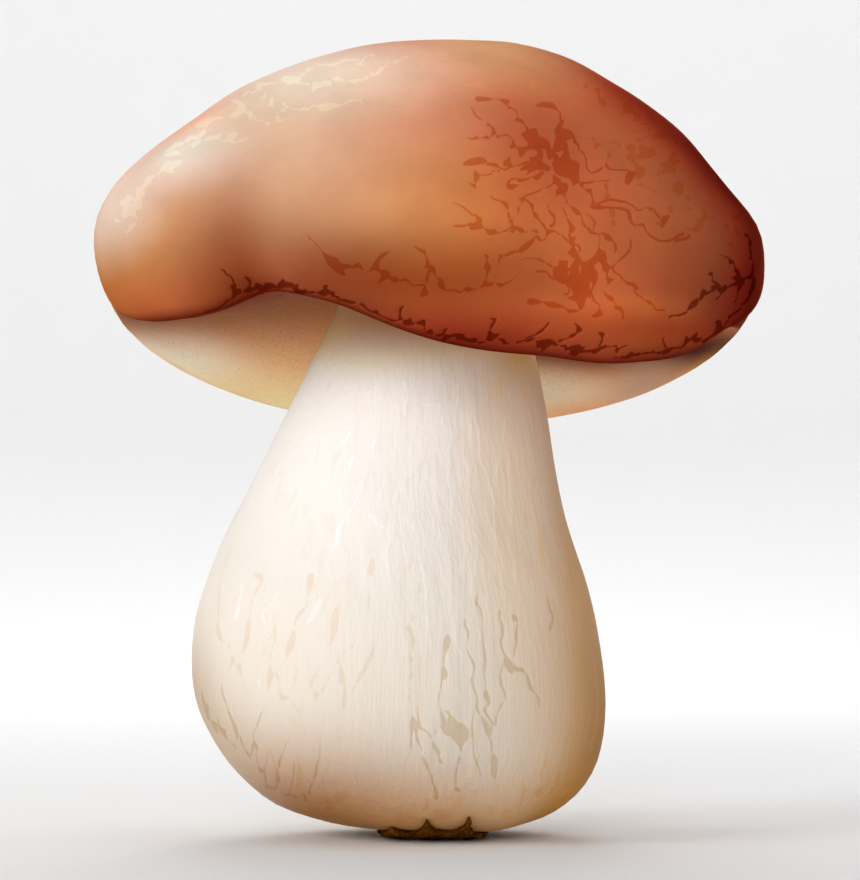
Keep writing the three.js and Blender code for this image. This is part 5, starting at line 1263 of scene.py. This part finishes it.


# ---- The three finishes of the mushroom: skin of the cap, pore layer, stem ----
# A soft patch has a name, its middle and reach in millimetres, its strength and its colour. The back
# of the cap goes from pale to dark round it as the front does, partly its own colour and partly
# painted light from the left and painted shade towards the right, carried on round the back.
BACK_TINTS = [
    ("back, left flank", (-46, 40, 97), (42, 52, 28), 0.95, (0.640, 0.260, 0.110)),
    ("back, dark side", (48, 34, 100), (34, 44, 48), 0.8, (0.260, 0.035, 0.010)),
    ("back, right end", (55, 16, 104), (26, 36, 46), 0.8, (0.130, 0.020, 0.006)),
    ("back, pale side", (-40, 38, 116), (36, 44, 26), 0.8, (0.640, 0.370, 0.230)),
    ("back, brown", (4, 60, 104), (50, 26, 26), 0.7, (0.500, 0.130, 0.040)),
    ("back, rim", (0, 52, 82), (90, 60, 9), 0.8, (0.240, 0.040, 0.010)),
]
# Behind, the stem carries on the painted shade of its right half and the painted shadow of the cap.
STEM_BACK_TINTS = [
    ("back, right", (32, 24, 40), (32, 36, 90), 0.85, (0.740, 0.600, 0.450)),
    ("back, foot", (0, 34, 4), (60, 40, 22), 0.7, (0.560, 0.360, 0.180)),
    ("right, foot", (29, 2, 4), (14, 12, 11), 0.75, (0.520, 0.360, 0.200)),
    ("painted neck shadow, behind right", (17, 4, 84), (12, 12, 12), 0.6, (0.700, 0.560, 0.400)),
]
# The base colours and patches from here to STEM_TINTS were worked out by a separate fitting script.
SKIN_BASE = (0.894, 0.261, 0.098)
# The light falls from the upper left, and these patches paint part of it in: the cap is paler at the upper
# left and on top, partly its own colour and partly painted light, and darker towards its right end, partly
# its own dark red and partly painted shade. The patch on the shoulder at the left is a painted highlight, the
# two in the fold are painted shade, and the one on the lip at the front is painted shadow.
SKIN_TINTS = [
    ("left half", (-49, -31, 96), (112, 265, 27), 1.0, (0.425, 0.434, 0.095)),
    ("right flank", (17, -30, 117), (31, 150, 30), 1.0, (0.472, 0.108, 0.043)),
    ("rose crown", (-27, -41, 125), (46, 94, 54), 0.8, (0.604, 0.496, 0.358)),
    ("left shoulder", (-43, -27, 116), (20, 39, 11), 0.9, (0.782, 0.750, 0.636)),
    ("left lobe", (-43, -29, 86), (305, 106, 41), 0.8, (0.464, 0.027, 0.012)),
    ("painted fold shade, left", (-29, -37, 93), (21, 15, 30), 0.9, (0.163, 0.019, 0.002)),
    ("painted fold shade, right", (-18, -48, 87), (21, 19, 25), 0.8, (0.023, 0.002, 0.002)),
    ("belly", (-3, -55, 93), (41, 13, 13), 0.8, (0.191, 0.020, 0.002)),
    ("right band", (25, -46, 84), (314, 134, 7), 0.9, (0.192, 0.002, 0.005)),
    ("right lobe", (32, -41, 87), (60, 18, 7), 0.8, (0.970, 0.255, 0.064)),
    ("right end", (43, 0, 85), (29, 72, 74), 1.0, (0.019, 0.002, 0.003)),
    ("right brow", (45, -12, 121), (128, 21, 99), 0.6, (0.606, 0.005, 0.002)),
    ("top", (-22, -12, 132), (40, 170, 15), 0.6, (0.867, 0.815, 0.683)),
    ("painted lip shadow", (-17, -34, 91), (15, 24, 24), 0.8, (0.577, 0.090, 0.033)),
    ("crown line", (11, -10, 129), (23, 28, 25), 0.6, (0.695, 0.617, 0.307)),
    ("right rim", (43, -36, 86), (64, 44, 5), 0.8, (0.353, 0.046, 0.015)),
    ("far right", (52, -12, 100), (42, 20, 231), 0.8, (0.058, 0.002, 0.002)),
    ("middle glow", (2, -44, 102), (24, 15, 21), 0.6, (0.598, 0.245, 0.033)),
    ("left end", (-54, -23, 109), (14, 85, 15), 0.8, (0.761, 0.618, 0.530)),
]
PORE_BASE = (0.941, 0.370, 0.162)
# The darkest patches are painted shadow beneath the overhanging cap, and the pale ones are partly the pores'
# own cream and partly painted light where the pores catch it.
PORE_TINTS = [
    ("left, painted cap shadow", (-49, -12, 95), (75, 90, 18), 0.9, (0.020, 0.020, 0.020)),
    ("left, peach", (-49, 20, 83), (23, 89, 8), 0.8, (0.970, 0.969, 0.841)),
    ("left, near the stem", (-21, 42, 71), (72, 83, 24), 0.8, (0.970, 0.970, 0.539)),
    ("right, painted cap shadow", (42, 15, 86), (68, 75, 7), 1.0, (0.082, 0.020, 0.020)),
    ("right, peach", (15, 34, 80), (33, 17, 7), 0.8, (0.970, 0.943, 0.713)),
    ("painted lip shadow, under", (-18, -38, 86), (79, 30, 40), 1.0, (0.174, 0.022, 0.020)),
    ("right, tan", (40, 26, 79), (13, 23, 9), 0.8, (0.593, 0.408, 0.292)),
]
STEM_BASE = (0.744, 0.654, 0.552)
# The stem's right half is darker and warmer, partly its own tan and partly painted shade, and the patches at
# the neck and the yellowish one just beneath the cap are painted shadow cast by the cap.
STEM_TINTS = [
    ("painted side shade, right", (23, -2, 36), (17, 41, 1057), 1.0, (0.593, 0.258, 0.008)),
    ("left side", (-44, -9, 22), (11, 40, 23), 0.8, (0.462, 0.273, 0.159)),
    ("foot", (-17, -13, 6), (34, 41, 23), 0.9, (0.369, 0.125, 0.002)),
    ("left foot", (-43, -21, 11), (20, 31, 28), 0.8, (0.438, 0.297, 0.150)),
    ("middle", (-14, -25, 68), (63, 267, 57), 0.8, (0.941, 0.921, 0.878)),
    ("painted cap shadow", (-6, -14, 90), (120, 115, 12), 0.9, (0.970, 0.820, 0.321)),
    ("painted neck shadow, middle", (-13, -19, 85), (22, 14, 9), 0.9, (0.803, 0.706, 0.528)),
    ("painted neck shadow, right", (15, -11, 85), (7, 24, 11), 0.8, (0.640, 0.409, 0.070)),
    ("painted neck shadow, left", (-5, -10, 91), (36, 146, 11), 0.7, (0.323, 0.002, 0.002)),
    ("right foot", (30, -5, 16), (11, 25, 31), 0.7, (0.381, 0.133, 0.002)),
    ("sole", (8, -17, -1), (39, 77, 19), 0.7, (0.753, 0.308, 0.002)),
    ("painted edge shade, right", (14, -22, 55), (14, 19, 69), 0.8, (0.856, 0.670, 0.484)),
]


def pore_shade(tree, spot):
    """Peach and cream, pale partly as painted light, with painted shadow beneath the cap's edge and a warm
    yellow painted reflection low down towards the margin.
    """
    shade = blushed(tree, spot, (*PORE_BASE, 1), PORE_TINTS)
    # A warm yellow painted reflection: light thrown back low down towards the margin, more on the left.
    painted_bounce = ramp(tree, attribute(tree, "margin"), -2.6, -0.9, 0.0, 0.8)
    place = node(tree, "SeparateXYZ", {0: spot}).outputs
    left = ramp(tree, place["X"], -10.0, 40.0, 1.0, 0.5)
    low = math_of(tree, "MULTIPLY", ramp(tree, place["Z"], 82.0, 88.0, 1.0, 0.0), left)
    return mix(tree, math_of(tree, "MULTIPLY", painted_bounce, low), shade, (0.88, 0.46, 0.10))


def make_skin():
    """The cap's skin: patches of its own colour and of painted light and shade, faint veins behind, the
    marks, and pores below the margin.
    """
    material, tree, shader = new_material("cap skin")
    spot = in_millimetres(tree)
    shade = blushed(tree, spot, (*SKIN_BASE, 1), SKIN_TINTS + BACK_TINTS)

    cloudy = ramp(tree, noise_of(tree, spot, 0.09, 3.0), 0.3, 0.7, 0.94, 1.06)
    shade = mix(tree, 1.0, shade, node(tree, "CombineColor", {0: cloudy, 1: cloudy, 2: cloudy}).outputs[0],
                "MULTIPLY")

    veins = group(tree, VEINS, {"Spot": spot, "Scale": 0.12, "Width": 0.07, "Broken": 0.75}).outputs["Mask"]
    behind = ramp(tree, node(tree, "SeparateXYZ", {0: spot}).outputs["Y"], 2.0, 16.0)
    shade = mix(tree, math_of(tree, "MULTIPLY", veins, behind), shade, (0.87, 0.64, 0.48), "MULTIPLY")
    shade = tinted(tree, spot, shade, "net", (0.84, 0.56, 0.39))
    shade = tinted(tree, spot, shade, "faint net", (0.95, 0.76, 0.58))
    shade = tinted(tree, spot, shade, "cracks", (0.48, 0.29, 0.21))
    shade = tinted(tree, spot, shade, "glow", (1.06, 1.06, 0.88))
    shade = tinted(tree, spot, shade, "scuffs", (1.08, 1.16, 1.14), 0.2, 0.1)
    line = math_of(tree, "MULTIPLY", attribute(tree, "rim line"), 0.85)
    shade = mix(tree, line, shade, (0.10, 0.004, 0.001))
    above = ramp(tree, attribute(tree, "margin"), -0.15, 0.15)
    shade = mix(tree, above, pore_shade(tree, spot), shade)
    tree.links.new(shade, shader.inputs["Base Color"])

    rough = ramp(tree, noise_of(tree, spot, 0.35, 3.0), 0.3, 0.7, 0.40, 0.52)
    tree.links.new(rough, shader.inputs["Roughness"])
    shader.inputs["Specular IOR Level"].default_value = 0.0
    wrinkles = noise_of(tree, spot, 0.5, 4.0, 0.6)
    grain = noise_of(tree, spot, 3.0, 2.0)
    wrinkles, grain = math_of(tree, "MULTIPLY", wrinkles, 0.25), math_of(tree, "MULTIPLY", grain, 0.03)
    bumped(tree, shader, math_of(tree, "ADD", wrinkles, grain), 1.0, 0.5)
    return material


def make_pores():
    """The pore layer, with a fine pattern of holes."""
    material, tree, shader = new_material("pore layer")
    spot = in_millimetres(tree)
    shade = pore_shade(tree, spot)
    holes = node(tree, "TexVoronoi", {"Vector": spot, "Scale": 1.5}).outputs["Distance"]
    mouth = ramp(tree, holes, 0.05, 0.45)
    shade = mix(tree, ramp(tree, holes, 0.0, 0.4, 0.35, 0.0), shade, (0.82, 0.72, 0.62), "MULTIPLY")
    tree.links.new(shade, shader.inputs["Base Color"])
    shader.inputs["Roughness"].default_value = 0.75
    shader.inputs["Specular IOR Level"].default_value = 0.0
    bumped(tree, shader, math_of(tree, "MULTIPLY", mouth, 0.2), 1.0, 0.6)
    return material


def make_stem():
    """The stem's pale skin, with patches of its own colour and of painted shade and shadow, upright fibres
    and its marks.
    """
    material, tree, shader = new_material("stem")
    spot = in_millimetres(tree)
    shade = blushed(tree, spot, (*STEM_BASE, 1), STEM_TINTS + STEM_BACK_TINTS)
    fibres = group(tree, FIBRES, {"Spot": spot, "Width": 1.1, "Length": 16.0})
    shade = mix(tree, math_of(tree, "MULTIPLY", fibres.outputs["Streak"], 0.12), shade, (0.72, 0.52, 0.32))

    shade = tinted(tree, spot, shade, "cream", (1.05, 1.08, 1.11), 0.2, 0.1)
    shade = tinted(tree, spot, shade, "gold", (1.01, 0.97, 0.78), 0.2, 0.12)
    shade = tinted(tree, spot, shade, "foot patches", (0.98, 0.91, 0.78), 0.2, 0.12)
    shade = tinted(tree, spot, shade, "shades", (0.95, 0.89, 0.81), 0.15, 0.12)
    shade = tinted(tree, spot, shade, "strands", (0.85, 0.77, 0.65), 0.15, 0.1)
    tree.links.new(shade, shader.inputs["Base Color"])
    shader.inputs["Roughness"].default_value = 0.62
    shader.inputs["Specular IOR Level"].default_value = 0.08
    bumped(tree, shader, fibres.outputs["Height"], 0.35, 0.6)
    return material


def make_earth():
    """Dark brown crumbly soil."""
    material, tree, shader = new_material("earth crust")
    spot = in_millimetres(tree)
    crumbs = node(tree, "TexVoronoi", {"Vector": spot, "Scale": 1.3, "Randomness": 1.0}).outputs["Distance"]
    grit = noise_of(tree, spot, 1.8, 4.0, 0.65)
    shade = mix(tree, ramp(tree, grit, 0.35, 0.7), (0.14, 0.046, 0.004), (0.22, 0.075, 0.008))
    shade = mix(tree, ramp(tree, crumbs, 0.3, 0.6, 0.0, 0.5), shade, (0.11, 0.036, 0.004))
    tree.links.new(shade, shader.inputs["Base Color"])
    shader.inputs["Roughness"].default_value = 0.9
    shader.inputs["Specular IOR Level"].default_value = 0.0
    bumped(tree, shader, math_of(tree, "SUBTRACT", grit, crumbs), 0.8, 0.8)
    return material


bolete = make_bolete()
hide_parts("mushroom")
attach(bolete, "root")
soil = make_crust(bolete)
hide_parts("soil_crust")
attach(soil, "root")


# ---- The studio: a pale paper bowl, soft lights and the camera ----
def make_bowl():
    """A cylinder without its lid, turned to face inwards, with a wide bend from floor to wall."""
    bpy.ops.object.select_all(action="DESELECT")
    bpy.ops.mesh.primitive_cylinder_add(
        vertices=96, radius=BOWL_RADIUS, depth=BOWL_HEIGHT, location=(0, 0, BOWL_HEIGHT / 2)
    )
    bowl = bpy.context.object
    bowl.name = "studio_bowl"
    select(bowl, "FACE", [face.normal.z > 0.9 for face in bowl.data.polygons])
    bpy.ops.mesh.delete(type="FACE")
    bpy.ops.mesh.select_all(action="SELECT")
    bpy.ops.mesh.flip_normals()
    bpy.ops.object.mode_set(mode="OBJECT")
    bend = bowl.modifiers.new("Bend", "BEVEL")
    bend.width = 0.8
    bend.segments = 16
    bend.limit_method = "ANGLE"
    bpy.ops.object.modifier_apply(modifier=bend.name)
    bpy.ops.object.shade_smooth()
    bpy.ops.object.transform_apply()
    material, _, shader = new_material("studio paper")
    shader.inputs["Base Color"].default_value = (0.85, 0.85, 0.85, 1)
    shader.inputs["Roughness"].default_value = 0.9
    shader.inputs["Specular IOR Level"].default_value = 0.1
    bowl.data.materials.append(material)


def soft_light(name, place, size, power, aim=(0, 0, MIDDLE_HEIGHT)):
    """A round soft light of that size, turned towards its aim."""
    bpy.ops.object.light_add(type="AREA", location=place)
    lamp = bpy.context.object
    lamp.name = name
    lamp.data.shape = "DISK"
    lamp.data.size = size
    lamp.data.energy = power
    lamp.rotation_euler = (Vector(aim) - Vector(place)).to_track_quat("-Z", "Y").to_euler()


def round_the_object(turn, lift, away=1.25):
    """A place that far from the object, turned to the right of the front and lifted, in degrees."""
    turn, lift = math.radians(turn), math.radians(lift)
    flat = away * math.cos(lift)
    return (flat * math.sin(turn), -flat * math.cos(turn), MIDDLE_HEIGHT + away * math.sin(lift))


make_bowl()
soft_light("key from the left", round_the_object(-60, 20), 0.6, 5.7)
soft_light("key from the front", round_the_object(-10, 12), 0.6, 5.7)
soft_light("light from behind", round_the_object(180, 35), 0.6, 3.8)
soft_light("light from above", round_the_object(0, 85), 0.6, 1.0)
soft_light("light on the paper", (0, 0.5, 1.6), 1.0, 14, (0, 1.9, 0.9))

studio = bpy.data.worlds.new("studio")
bpy.context.scene.world = studio
studio.use_nodes = True
studio.node_tree.nodes["Background"].inputs["Color"].default_value = (1, 1, 1, 1)
studio.node_tree.nodes["Background"].inputs["Strength"].default_value = 0.27

bpy.ops.object.camera_add(location=LAYING_POINT)
camera = bpy.context.object
camera.data.lens = 150
camera.data.sensor_width = 36
camera.rotation_euler = (AIM - LAYING_POINT).to_track_quat("-Z", "Y").to_euler()
bpy.context.scene.camera = camera
bpy.context.scene.view_settings.view_transform = "Standard"
